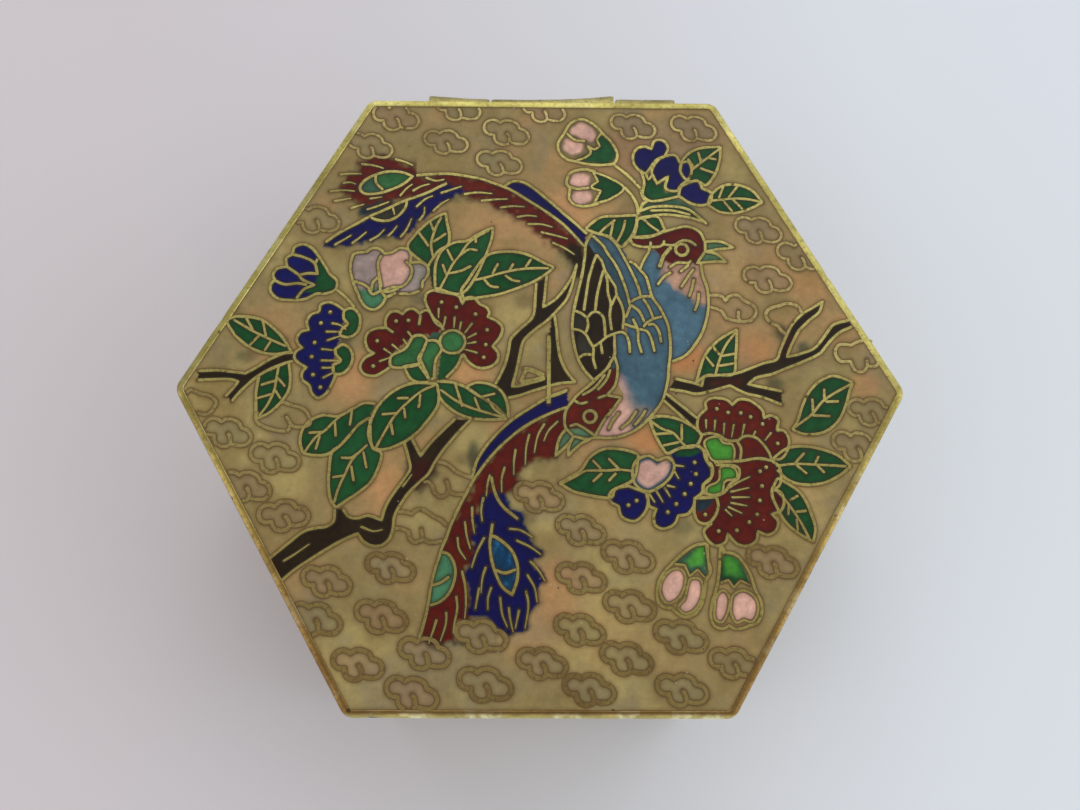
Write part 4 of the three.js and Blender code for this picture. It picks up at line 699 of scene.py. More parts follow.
TINTS = (  # broad patches of the ground, as (x, y, radius x, radius y, strength, colour name)
    (10, 29.5, 6, 4, 0.6, "clay"), (19, 31, 5, 3, 0.5, "clay"), (11, 21, 4, 3, 0.4, "clay"), (-29.3, 5.6, 1.3, 1.1, 0.8, "moss"), (-33.2, 3.7, 1.6, 1, 0.6, "moss"), (-35.8, 9.4, 1.4, 0.9, 0.7, "moss"), (-22.2, 6, 1.1, 1.5, 0.7, "moss"), (27.4, 6.9, 1, 1.6, 0.8, "moss"), (29.7, 5.2, 0.9, 1, 0.7, "moss"),
    (26.3, 0.9, 1.4, 0.9, 0.7, "moss"), (24.4, 4.9, 2.6, 2.6, 0.5, "orange"), (-7.5, -7.4, 0.9, 1.9, 0.8, "moss"), (-35.5, -1, 3.5, 6, 0.6, "olive"), (-19.6, 14.6, 1, 0.8, 0.4, "moss"), (12.5, -8.6, 1.4, 1, 0.5, "moss"), (15.6, -15.2, 1.6, 1.2, 0.5, "moss"), (-14, 10.6, 1.4, 1, 0.4, "moss"),
    (2, 21, 8, 5, 0.8, "peach"), (-8, 2, 3.5, 3, 0.8, "peach"), (-22, 1, 4, 4, 0.7, "peach"), (-17, -11, 3, 4, 0.8, "peach"), (16, 4, 3, 2.5, 0.9, "orange"),
    (12, -5.5, 3, 2, 0.8, "orange"), (31, 13, 3, 2.5, 0.3, "orange"), (36.3, 0.8, 2.4, 2, 0.45, "orange"), (-4, -4.5, 2.5, 2, 0.35, "orange"), (2, -22.5, 2.5, 4, 0.4, "orange"), (-27.7, -10, 3, 3.5, 0.9, "lemon"), (-3, 9, 3.5, 3, 0.7, "lemon"),
    (9, -14, 8, 5, 0.35, "lemon"), (-10, 28, 16, 6, 0.3, "olive"), (22, 14, 6, 6, 0.3, "peach"), (-2, 10.5, 1.6, 1.2, 0.5, "smudge"), (-8.5, -7.8, 1.5, 1.2, 0.5, "smudge"),
    (26, 1.5, 1.2, 1, 0.5, "smudge"), (27, 7, 1.4, 1, 0.5, "smudge"), (-2, -14.5, 1.6, 1.2, 0.5, "smudge"), (-32, 4, 1.3, 1, 0.4, "smudge"), (-35, 9, 1.5, 1, 0.4, "smudge"),
    (-10, -31, 10, 4, 0.3, "grey"), (14, 27, 5, 4, 0.35, "grey"), (30, -2, 6, 8, 0.25, "olive"), (20, -26, 8, 5, 0.25, "olive"), (0, -24, 6, 8, 0.3, "peach"), (-30, 6, 4, 6, 0.35, "peach"), (8, -27, 5, 5, 0.3, "peach"), (27, -10, 5, 8, 0.3, "peach"), (-24, 24, 7, 6, 0.3, "olive"), (12, -24, 10, 9, 0.35, "lemon"), (26, -14, 7, 6, 0.35, "lemon"),
)


def lid_sheet():
    S = Sheet()
    for part in (clouds, branches, leaves, flowers, second_bird, first_bird):
        part(S)
    return S
# ---------------------------------------------------------------- the six-sided form (millimetres)
MM = 0.001
APOTHEM = (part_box("lid_shell")[1].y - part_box("lid_shell")[0].y) / 2 / MM
LID_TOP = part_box("lid_shell")[1].z / MM
LID_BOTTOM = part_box("lid_shell")[0].z / MM
BODY_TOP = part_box("body_shell")[1].z / MM
CORNER = 1.6
WIRE = 0.34  # width of a cloison as stoned flat
ENAMEL_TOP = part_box("lid_enamel_top")[1].z / MM - 0.008


def hex_ring(inset, turns=6, along=0):
    """Points of a rounded hexagon, counter-clockwise, with `along` extra points on each flat."""
    a = APOTHEM - inset
    r = max(CORNER - inset, 0.3)
    reach = (a - r) / math.cos(math.pi / 6)
    arcs = []
    for k in range(6):
        c = k * math.pi / 3
        t = c + (np.arange(turns + 1) / turns - 0.5) * math.pi / 3
        arcs.append(np.stack([reach * math.cos(c) + r * np.cos(t), reach * math.sin(c) + r * np.sin(t)], 1))
    out = []
    for k in range(6):
        out.append(arcs[k])
        p, q = arcs[k][-1], arcs[(k + 1) % 6][0]
        if along:
            f = (np.arange(1, along + 1) / (along + 1))[:, None]
            out.append(p + (q - p) * f)
    return np.vstack(out)


def new_piece(name, verts, faces, material, body, stands_for=(), angle=None, attrs=(), uv=None):
    """A mesh from vertices in millimetres, riding on a body."""
    mesh = bpy.data.meshes.new(name)
    verts = np.asarray(verts, float) * MM
    if isinstance(faces, np.ndarray) and faces.ndim == 2:
        n, k = faces.shape
        mesh.vertices.add(len(verts))
        mesh.vertices.foreach_set("co", verts.astype(np.float32).ravel())
        mesh.loops.add(n * k)
        mesh.loops.foreach_set("vertex_index", faces.astype(np.int32).ravel())
        mesh.polygons.add(n)
        mesh.polygons.foreach_set("loop_start", np.arange(0, n * k, k, dtype=np.int32))
        mesh.update(calc_edges=True)
        mesh.validate()
    else:
        mesh.from_pydata([tuple(v) for v in verts], [], [tuple(int(i) for i in f) for f in faces])
        mesh.update()
    mesh.polygons.foreach_set("use_smooth", np.ones(len(mesh.polygons), bool))
    if angle:
        mesh.set_sharp_from_angle(angle=math.radians(angle))
    for key, values in attrs:
        values = np.asarray(values, float)
        if values.ndim == 2:
            a = mesh.color_attributes.new(key, "FLOAT_COLOR", "POINT")
            a.data.foreach_set("color", np.hstack([values, np.ones((len(values), 1))]).astype(np.float32).ravel())
        else:
            a = mesh.attributes.new(key, "FLOAT", "POINT")
            a.data.foreach_set("value", values.astype(np.float32))
    if uv is not None:
        layer = mesh.uv_layers.new(name="OFBake")
        idx = np.zeros(len(mesh.loops), np.int32)
        mesh.loops.foreach_get("vertex_index", idx)
        layer.data.foreach_set("uv", np.asarray(uv, float)[idx].astype(np.float32).ravel())
    mesh.materials.append(material)
    obj = bpy.data.objects.new(name, mesh)
    bpy.context.scene.collection.objects.link(obj)
    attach(obj, body)
    if stands_for:
        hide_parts(*stands_for)
    return obj


def turned(profile, turns=6, along=30, warp=None, closed=False):
    """A profile of (inset, z) carried round the hexagon. An inset of None is the centre line."""
    verts, faces, starts = [], [], []
    for inset, z in profile:
        starts.append(len(verts))
        if inset is None:
            verts.append((0.0, 0.0, z))
            continue
        for x, y in hex_ring(inset, turns, along):
            verts.append((x, y, z))
    n = 6 * (turns + 1) + 6 * along
    last = len(profile) if closed else len(profile) - 1
    for i in range(last):
        j = (i + 1) % len(profile)
        a, b = starts[i], starts[j]
        for k in range(n):
            m = (k + 1) % n
            if profile[i][0] is None:
                faces.append((a, b + m, b + k))
            elif profile[j][0] is None:
                faces.append((a + k, a + m, b))
            else:
                faces.append((a + k, a + m, b + m, b + k))
    verts = np.array(verts)
    if warp:
        verts = warp(verts)
    return verts, faces


def lattice(inset, n):
    """Equilateral lattice filling the rounded hexagon: points, triangles, and the outline's order."""
    R = (APOTHEM - inset) / math.cos(math.pi / 6)
    index, pts = {}, []
    for i in range(-n, n + 1):
        for j in range(max(-n, -n - i), min(n, n - i) + 1):
            index[(i, j)] = len(pts)
            pts.append((R / n * (i + j / 2), R / n * j * math.sqrt(3) / 2))
    pts = np.array(pts)
    tri = []
    for (i, j), a in index.items():
        b, c, d = index.get((i + 1, j)), index.get((i, j + 1)), index.get((i + 1, j - 1))
        if b is not None and c is not None:
            tri.append((a, b, c))
        if b is not None and d is not None:
            tri.append((a, d, b))
    # pull the sharp corners in to the fillet
    r = max(CORNER - inset, 0.3)
    for k in range(6):
        c = np.array([math.cos(k * math.pi / 3), math.sin(k * math.pi / 3)])
        centre = c * ((APOTHEM - inset - r) / math.cos(math.pi / 6))
        rel = pts - centre
        along = rel @ c
        dist = np.hypot(*rel.T)
        ang = np.arccos(np.clip(along / np.maximum(dist, 1e-9), -1, 1))
        zone = (ang < math.pi / 6) & (along > 0)
        flat = r / np.cos(np.maximum(0, math.pi / 6 - ang))  # distance to the sharp outline there
        pts[zone] = centre + rel[zone] * (1 - (1 - r / flat[zone]) * np.clip(dist[zone] / flat[zone], 0, 1) ** 2)[:, None]
    order = []
    i, j = n, 0
    for di, dj in ((-1, 1), (-1, 0), (0, -1), (1, -1), (1, 0), (0, 1)):
        for _ in range(n):
            order.append(index[(i, j)])
            i, j = i + di, j + dj
    return pts, np.array(tri), order


def ribbons(wires, studs, place, seed=3, proud=0.0):
    """Raised brass ribbons along the wires; place(s, t, lift) gives points in space."""
    V, F, at = [], [], 0
    cut = np.array([-1.0, -0.9, 0.0, 0.9, 1.0])
    lift = np.array([-0.05, 0.018, 0.021, 0.018, -0.05]) + proud
    for P, width, closed, _ in wires:
        P = P.copy()
        if closed and np.hypot(*(P[0] - P[-1])) < 1e-6:
            P = P[:-1]
        if closed:
            d = np.roll(P, -1, 0) - np.roll(P, 1, 0)
        else:
            d = np.gradient(P, axis=0)
        d /= np.maximum(np.hypot(*d.T), 1e-9)[:, None]
        nrm = np.stack([-d[:, 1], d[:, 0]], 1)
        wob = value_noise(P[:, 0] * 1.1 + seed, P[:, 1] * 1.1, 91)
        half = WIRE / 2 * width * (1 + 0.13 * wob)
        bend = 0.025 * value_noise(P[:, 0] * 0.8, P[:, 1] * 0.8 + 5, 92)
        if not closed:
            if width <= 0.8:  # the short feather and petal wires are nipped thin at the tip
                half *= np.linspace(1.1, 0.6, len(half))
            half[[0, -1]] *= 0.8
        pts = P[:, None, :] + nrm[:, None, :] * (cut[None, :] * half[:, None] + bend[:, None])[:, :, None]
        up = np.repeat(lift[None, :], len(P), 0) + 0.004 * wob[:, None]
        V.append(place(pts[..., 0].ravel(), pts[..., 1].ravel(), up.ravel()))
        n, m = len(P), len(cut)
        rows = n if closed else n - 1
        a = (np.arange(rows)[:, None] * m + np.arange(m - 1)[None, :]).ravel()
        b = ((np.arange(rows)[:, None] + 1) % n * m + np.arange(m - 1)[None, :]).ravel()
        F.append(np.stack([a, b, b + 1, a + 1], 1)[:, ::-1] + at)
        if not closed:
            for row, flip in ((0, 1), ((n - 1) * m, -1)):
                F.append(np.array([[row, row + 1, row + 3, row + 4]])[:, ::flip] + at)
        at += n * m
    for sx, sy, r, _ in studs:
        ang = np.arange(10) * math.pi / 5
        rings = [(1.0, -0.05), (0.85, 0.02), (0.45, 0.035)]
        pts = [(sx + r * k * math.cos(t), sy + r * k * math.sin(t), z + proud) for k, z in rings for t in ang] + [(sx, sy, 0.04 + proud)]
        pts = np.array(pts)
        V.append(place(pts[:, 0], pts[:, 1], pts[:, 2]))
        f = []
        for q in range(2):
            for k in range(10):
                m = (k + 1) % 10
                f.append((q * 10 + k, q * 10 + m, q * 10 + 10 + m, q * 10 + 10 + k))
        F.append(np.array(f) + at)
        F.append(np.array([(20 + 2 * k, 20 + 2 * k + 1, 20 + (2 * k + 2) % 10, 30) for k in range(5)]) + at)
        at += 31
    return np.vstack(V), np.vstack(F)


# ---------------------------------------------------------------- node materials
class Nodes:
    """Short hand for building a node material."""

    def __init__(self, name):
        self.mat = bpy.data.materials.new(name)
        self.mat.use_nodes = True
        self.t = self.mat.node_tree
        self.bsdf = self.t.nodes["Principled BSDF"]
        self.coord = self.t.nodes.new("ShaderNodeTexCoord").outputs["Object"]

    def node(self, kind, **settings):
        n = self.t.nodes.new(kind)
        for k, v in settings.items():
            setattr(n, k, v)
        return n

    def put(self, socket, value):
        if isinstance(value, bpy.types.NodeSocket):
            self.t.links.new(value, socket)
        elif value is not None:
            socket.default_value = value

    def noise(self, scale, detail=3.0, rough=0.55, distort=0.0, stretch=None):
        n = self.node("ShaderNodeTexNoise")
        vec = self.coord
        if stretch:
            m = self.node("ShaderNodeMapping")
            self.put(m.inputs["Vector"], vec)
            m.inputs["Scale"].default_value = stretch
            vec = m.outputs["Vector"]
        self.put(n.inputs["Vector"], vec)
        n.inputs["Scale"].default_value = scale
        n.inputs["Detail"].default_value = detail
        n.inputs["Roughness"].default_value = rough
        n.inputs["Distortion"].default_value = distort
        return n.outputs["Fac"]

    def cells(self, scale, random=1.0):
        n = self.node("ShaderNodeTexVoronoi")
        self.put(n.inputs["Vector"], self.coord)
        n.inputs["Scale"].default_value = scale
        n.inputs["Randomness"].default_value = random
        return n.outputs["Distance"], n.outputs["Color"]

    def span(self, value, a, b, c=0.0, d=1.0, smooth=True):
        n = self.node("ShaderNodeMapRange", interpolation_type="SMOOTHSTEP" if smooth else "LINEAR")
        self.put(n.inputs["Value"], value)
        for k, v in zip(("From Min", "From Max", "To Min", "To Max"), (a, b, c, d)):
            self.put(n.inputs[k], v)
        return n.outputs["Result"]

    def math(self, op, a, b=None):
        n = self.node("ShaderNodeMath", operation=op)
        self.put(n.inputs[0], a)
        self.put(n.inputs[1], b)
        return n.outputs[0]

    def mix(self, fac, a, b, blend="MIX"):
        n = self.node("ShaderNodeMix", data_type="RGBA", blend_type=blend)
        self.put(n.inputs[0], fac)
        self.put(n.inputs[6], a if isinstance(a, bpy.types.NodeSocket) else (*a, 1))
        self.put(n.inputs[7], b if isinstance(b, bpy.types.NodeSocket) else (*b, 1))
        return n.outputs[2]

    def attribute(self, name, colour=False):
        n = self.node("ShaderNodeAttribute", attribute_name=name)
        return n.outputs["Color" if colour else "Fac"]

    def bump(self, height, distance, strength=1.0, under=None):
        n = self.node("ShaderNodeBump")
        n.inputs["Distance"].default_value = distance
        n.inputs["Strength"].default_value = strength
        self.put(n.inputs["Height"], height)
        if under is not None:
            self.put(n.inputs["Normal"], under)
        return n.outputs["Normal"]


def enamel_material(name, rough=0.3, coat=0.0):
    """Stoned enamel: painted colours, dark seams by the wires, pinholes and mineral specks."""
    n = Nodes(name)
    col = n.attribute("col", True)
    wd = n.attribute("wd")
    kind = n.attribute("kind")
    grain = n.noise(2600, 4, 0.62)
    soft = n.noise(420, 4, 0.6)
    broad = n.noise(110, 3, 0.55)
    col = n.mix(n.span(soft, 0.3, 0.72, 0, 0.34), col, n.mix(1.0, col, (0.72, 0.7, 0.62), "MULTIPLY"))
    col = n.mix(n.span(broad, 0.35, 0.7, 0, 0.25), col, n.mix(1.0, col, (1.22, 1.13, 0.98), "MULTIPLY"))
    col = n.mix(n.span(grain, 0.35, 0.75, 0, 0.3), col, n.mix(1.0, col, (0.78, 0.77, 0.74), "MULTIPLY"))
    powder = n.noise(1150, 3, 0.65)  # fused powder: the clear colours are patchy, the ground less so
    col = n.mix(n.span(powder, 0.50, 0.66, 0, n.span(kind, 0, 1, 0.2, 0.45)), col, n.mix(1.0, col, (1.45, 1.40, 1.35), "MULTIPLY"))
    col = n.mix(n.span(powder, 0.48, 0.34, 0, n.span(kind, 0, 1, 0.25, 0.5)), col, n.mix(1.0, col, (0.66, 0.70, 0.70), "MULTIPLY"))
    # glaze pools darker against the wire, then a thin black seam
    edge = n.math("ADD", wd, n.span(soft, 0.2, 0.8, -0.00005, 0.00006, False))
    pool = n.span(edge, 0.00025, 0.00075, 0.5, 0.0)
    col = n.mix(pool, col, n.mix(1.0, col, (0.60, 0.53, 0.42), "MULTIPLY"))
    seam = n.span(edge, 0.00020, 0.00040, 0.75, 0.0)
    col = n.mix(seam, col, n.mix(n.math("MULTIPLY", kind, 0.8), (0.125, 0.070, 0.030), (0.022, 0.018, 0.012)))
    # pinholes: rare, small and dark
    hole, tone = n.cells(520)
    pick = n.node("ShaderNodeSeparateColor")
    n.put(pick.inputs[0], tone)
    rare = n.span(pick.outputs[0], 0.80, 0.81, 0, 1)
    size = n.span(pick.outputs[1], 0.0, 1.0, 0.02, 0.075, False)
    pit = n.math("MULTIPLY", n.math("LESS_THAN", hole, size), rare)
    pit = n.math("MULTIPLY", pit, n.span(kind, 0, 1, 0.85, 0.4))
    col = n.mix(pit, col, (0.03, 0.022, 0.015))
    fleck, tone2 = n.cells(900)
    pick2 = n.node("ShaderNodeSeparateColor")
    n.put(pick2.inputs[0], tone2)
    pale = n.math("MULTIPLY", n.math("LESS_THAN", fleck, 0.1), n.span(pick2.outputs[0], 0.93, 0.94, 0, 0.22))
    col = n.mix(pale, col, (0.75, 0.7, 0.58))
    n.put(n.bsdf.inputs["Base Color"], col)
    n.put(n.bsdf.inputs["Roughness"], n.math("ADD", n.span(soft, 0.3, 0.75, rough - 0.06, rough + 0.1), n.math("MULTIPLY", pit, 0.4)))
    n.bsdf.inputs["Specular IOR Level"].default_value = 0.2
    n.bsdf.inputs["Coat Weight"].default_value = coat
    n.bsdf.inputs["Coat Roughness"].default_value = 0.12
    height = n.math("ADD", n.math("MULTIPLY", broad, 1.0), n.math("ADD", n.math("MULTIPLY", grain, 0.05), n.math("MULTIPLY", pit, -0.6)))
    n.put(n.bsdf.inputs["Normal"], n.bump(height, 0.00007, 0.6))
    return n.mat


def brass_material(name, bright, dark, rough=0.3, tarnish=0.5, scratch=0.5, sandy=0.6, front=0.0, glint=0.0):
    """Old brass: rubbed bright in places, brown in others, with fine scratches; front paints shade towards the front,
    and glint paints highlights on the front lip.
    """
    n = Nodes(name)
    broad = n.noise(150, 4, 0.6)
    fine = n.noise(2400, 4, 0.7)
    lines = n.noise(900, 2, 0.5, 0.0, (1.0, 14.0, 4.0))
    col = n.mix(n.span(broad, 0.34, 0.68, 0, 1), bright, dark)
    col = n.mix(n.span(fine, 0.45, 0.75, 0, tarnish), col, tuple(0.45 * v for v in dark))
    col = n.mix(n.span(lines, 0.5, 0.72, 0, 0.25 * scratch), col, tuple(min(1.0, 1.25 * v) for v in bright))
    spot, tone = n.cells(800)
    pick = n.node("ShaderNodeSeparateColor")
    n.put(pick.inputs[0], tone)
    dirt = n.math("MULTIPLY", n.math("LESS_THAN", spot, 0.2), n.span(pick.outputs[0], 0.84, 0.86, 0, 0.6))
    col = n.mix(dirt, col, (0.05, 0.035, 0.015))
    if front:  # painted shade: the metal towards the front, which mirrors darker surroundings, is painted darker and browner
        y = n.node("ShaderNodeSeparateXYZ")
        n.put(y.inputs[0], n.coord)
        brown = n.span(n.math("ADD", y.outputs[1], n.math("MULTIPLY", n.noise(60, 2, 0.5), 0.02)), 0.02, -0.02, 0.0, front)
        if glint:
            lip = n.math("MULTIPLY", n.span(y.outputs[1], -0.0356, -0.0349, 1, 0), n.span(y.outputs[2], 0.0366, 0.0370, 0, 1))
            brown = n.math("MULTIPLY", brown, n.math("SUBTRACT", 1.0, lip))
        col = n.mix(brown, col, n.mix(1.0, col, (0.60, 0.39, 0.42) if glint else (0.80, 0.72, 0.64), "MULTIPLY"))
    if glint:  # painted highlight: the front lip is painted a brighter brass, with near-white glints in patches
        painted_glint = n.math("MULTIPLY", n.span(n.noise(330, 3, 0.6), 0.50, 0.62, 0, glint), n.math("ADD", n.math("MULTIPLY", lip, 0.9), 0.1))
        col = n.mix(lip, col, n.mix(0.6, col, (0.80, 0.74, 0.34)))
        col = n.mix(painted_glint, col, (1.0, 0.97, 0.62))
    n.put(n.bsdf.inputs["Base Color"], col)
    n.bsdf.inputs["Metallic"].default_value = 1.0
    r = n.math("ADD", n.span(broad, 0.3, 0.7, rough, rough + 0.16), n.span(fine, 0.4, 0.8, -0.05, 0.12))
    if glint:
        r = n.math("ADD", r, n.math("MULTIPLY", lip, 0.3))
    n.put(n.bsdf.inputs["Roughness"], n.math("ADD", r, n.math("MULTIPLY", dirt, 0.3)))
    height = n.math("ADD", n.math("MULTIPLY", fine, 0.4), n.math("MULTIPLY", lines, 0.25 * scratch))
    if glint:  # the front lip is dented all along, so it catches the light in places
        height = n.math("ADD", height, n.math("MULTIPLY", lip, n.math("MULTIPLY", n.noise(620, 2, 0.5), 9.0)))
    n.put(n.bsdf.inputs["Normal"], n.bump(height, 0.00004, sandy))
    return n.mat


def counter_enamel_material(name, colour, deep):
    """Plain enamel inside and underneath: orange-peel surface, bubbles, drifts of tone."""
    n = Nodes(name)
    broad = n.noise(70, 4, 0.6)
    peel = n.noise(700, 3, 0.5)
    grain = n.noise(2400, 3, 0.6)
    col = n.mix(n.span(broad, 0.3, 0.7), colour, deep)
    col = n.mix(n.span(grain, 0.35, 0.8, 0, 0.35), col, tuple(0.6 * v for v in deep))
    bub, tone = n.cells(620)
    pick = n.node("ShaderNodeSeparateColor")
    n.put(pick.inputs[0], tone)
    pit = n.math("MULTIPLY", n.math("LESS_THAN", bub, n.span(pick.outputs[1], 0, 1, 0.03, 0.11, False)), n.span(pick.outputs[0], 0.7, 0.71, 0, 0.85))
    col = n.mix(pit, col, (0.012, 0.025, 0.03))
    n.put(n.bsdf.inputs["Base Color"], col)
    n.put(n.bsdf.inputs["Roughness"], n.math("ADD", n.span(peel, 0.3, 0.7, 0.14, 0.26), n.math("MULTIPLY", pit, 0.4)))
    n.bsdf.inputs["Coat Weight"].default_value = 0.3
    n.bsdf.inputs["Coat Roughness"].default_value = 0.08
    height = n.math("ADD", n.math("MULTIPLY", peel, 1.0), n.math("MULTIPLY", pit, -0.8))
    n.put(n.bsdf.inputs["Normal"], n.bump(height, 0.00009, 0.5))
    return n.mat


# the eighth value, front, paints shade towards the front of the wires and rim; the rim's ninth, glint, paints
# highlights on its front lip
WIRE_BRASS = brass_material("cloison_brass", (0.60, 0.52, 0.17), (0.36, 0.30, 0.10), 0.34, 0.9, 0.3, 0.9, 0.6)
CLOUD_BRASS = brass_material("cloud_cloison_brass", (0.54, 0.44, 0.17), (0.31, 0.23, 0.09), 0.34, 0.9, 0.3, 0.9, 0.85)
RIM_BRASS = brass_material("rim_brass", (0.57, 0.50, 0.15), (0.33, 0.27, 0.08), 0.26, 0.5, 1.0, 0.9, 0.9, 1.0)
HINGE_BRASS = brass_material("hinge_brass", (0.52, 0.45, 0.17), (0.25, 0.20, 0.07), 0.34, 0.6, 1.0)
ENAMEL = enamel_material("picture_enamel")
SIDE_ENAMEL = enamel_material("side_enamel", 0.26, 0.15)
TURQUOISE = counter_enamel_material("counter_enamel", (0.035, 0.25, 0.34), (0.02, 0.17, 0.25))
# ---------------------------------------------------------------- the lid's top
GAIN = 1 / 0.83  # painted colours are as seen on a surface under the studio light


def albedo(col):
    return np.clip((col - 0.012) * GAIN, 0.004, 0.9)


sheet = lid_sheet()
pts, tri, order = lattice(0.825, 179)
x, y = pts[:, 0], pts[:, 1]
col, wd, kind = paint(sheet, x, y, TINTS)
# distance to the brass border counts as a wire too, a little wider
rim_d = np.min([(APOTHEM - 0.8) - (x * math.cos(a) + y * math.sin(a)) for a in [math.radians(30 + 60 * k) for k in range(6)]], 0)
wd = np.minimum(wd, np.maximum(rim_d, 0) + 0.2)
sag = 0.006 * fbm(x, y, 9, 70, 2) - 0.012 * step01(0.25, 0.9, wd) - 0.02 * (1 - step01(0.0, 0.5, rim_d))
top = np.column_stack([x, y, np.full(len(x), ENAMEL_TOP) + sag])
n0 = len(top)
edge = top[order]
skirt = edge.copy()
skirt[:, 2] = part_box("lid_enamel_top")[0].z / MM
verts = np.vstack([top, skirt, [[0, 0, skirt[0, 2]]]])
m = len(order)
o = np.array(order)
k = np.arange(m)
side = np.vstack([np.column_stack([o, n0 + k, n0 + (k + 1) % m]), np.column_stack([o, n0 + (k + 1) % m, o[(k + 1) % m]])])
under = np.column_stack([np.full(m, n0 + m), n0 + (k + 1) % m, n0 + k])


def extend(v, fill):
    v = np.asarray(v, float)
    return np.concatenate([v, v[order], v[:1]]) if v.ndim == 1 else np.vstack([v, v[order], v[:1]])


uv = np.vstack([top[:, :2] / 84 + 0.5, skirt[:, :2] / 84 * 1.004 + 0.5, [[0.004, 0.004]]])
picture = new_piece("lid_picture_enamel", verts, np.vstack([tri, side, under]), ENAMEL, "lid", ["lid_enamel_top"], 50,
                    [("col", albedo(extend(col, 0))), ("wd", extend(wd, 0) * MM), ("kind", extend(kind, 0))])


def on_lid(s, t, lift):
    return np.column_stack([s, t, LID_TOP - 0.03 + lift])


for group in ("clouds", "branches", "leaves", "flowers", "birds"):
    V, F = ribbons([w for w in sheet.wires if w[3] == group], [w for w in sheet.studs if w[3] == group], on_lid)
    new_piece("lid_wires_" + group, V, F, CLOUD_BRASS if group == "clouds" else WIRE_BRASS, "lid", angle=35)


# ---------------------------------------------------------------- the side bands
def leaf_at(S, colour, base, tip, fat, bend=0.0):
    """A plain pointed leaf with a midrib and two pairs of side veins."""
    base, tip = np.array(base, float), np.array(tip, float)
    ax = tip - base
    nrm = np.array([-ax[1], ax[0]]) / np.hypot(*ax)
    mid = [base + ax * t + nrm * bend * math.sin(math.pi * t) for t in (0, 0.25, 0.5, 0.75, 1)]
    up = [tuple(p + nrm * fat * f) for p, f in zip(mid[1:4], (0.85, 1.0, 0.6))]
    dn = [tuple(p - nrm * fat * f) for p, f in zip(mid[1:4], (0.85, 1.0, 0.6))]
    S.cell(colour, [tuple(base) + (1,)] + up + [tuple(tip) + (1,)] + dn[::-1])
    S.wire([tuple(p) for p in mid])
    for i in (1, 2):
        for sgn in (1, -1):
            S.wire([tuple(mid[i]), tuple(mid[i] + 0.16 * ax + nrm * fat * 0.62 * sgn)], 0.85)


def bloom_at(S, colour, heart, x, y, r, petals=5, turn=0.0):
    """A round flower: notched petals about a heart, with a stamen on each."""
    pts = []
    for k in range(petals):
        a = turn + 2 * math.pi * k / petals
        w = math.pi / petals
        pts += [(x + 0.62 * r * math.cos(a - w), y + 0.62 * r * math.sin(a - w), 1), (x + r * math.cos(a - 0.6 * w), y + r * math.sin(a - 0.6 * w)),
                (x + 1.04 * r * math.cos(a), y + 1.04 * r * math.sin(a)), (x + r * math.cos(a + 0.6 * w), y + r * math.sin(a + 0.6 * w))]
    S.cell(colour, pts)
    for k in range(petals):
        a = turn + 2 * math.pi * k / petals
        S.wire([(x + 0.38 * r * math.cos(a), y + 0.38 * r * math.sin(a)), (x + 0.66 * r * math.cos(a), y + 0.66 * r * math.sin(a))], 0.85)
        S.dots([(x + 0.82 * r * math.cos(a), y + 0.82 * r * math.sin(a))])
    S.cell(heart, [(x + 0.3 * r * math.cos(a), y + 0.3 * r * math.sin(a)) for a in np.linspace(0, 2 * math.pi, 9)[:-1]])


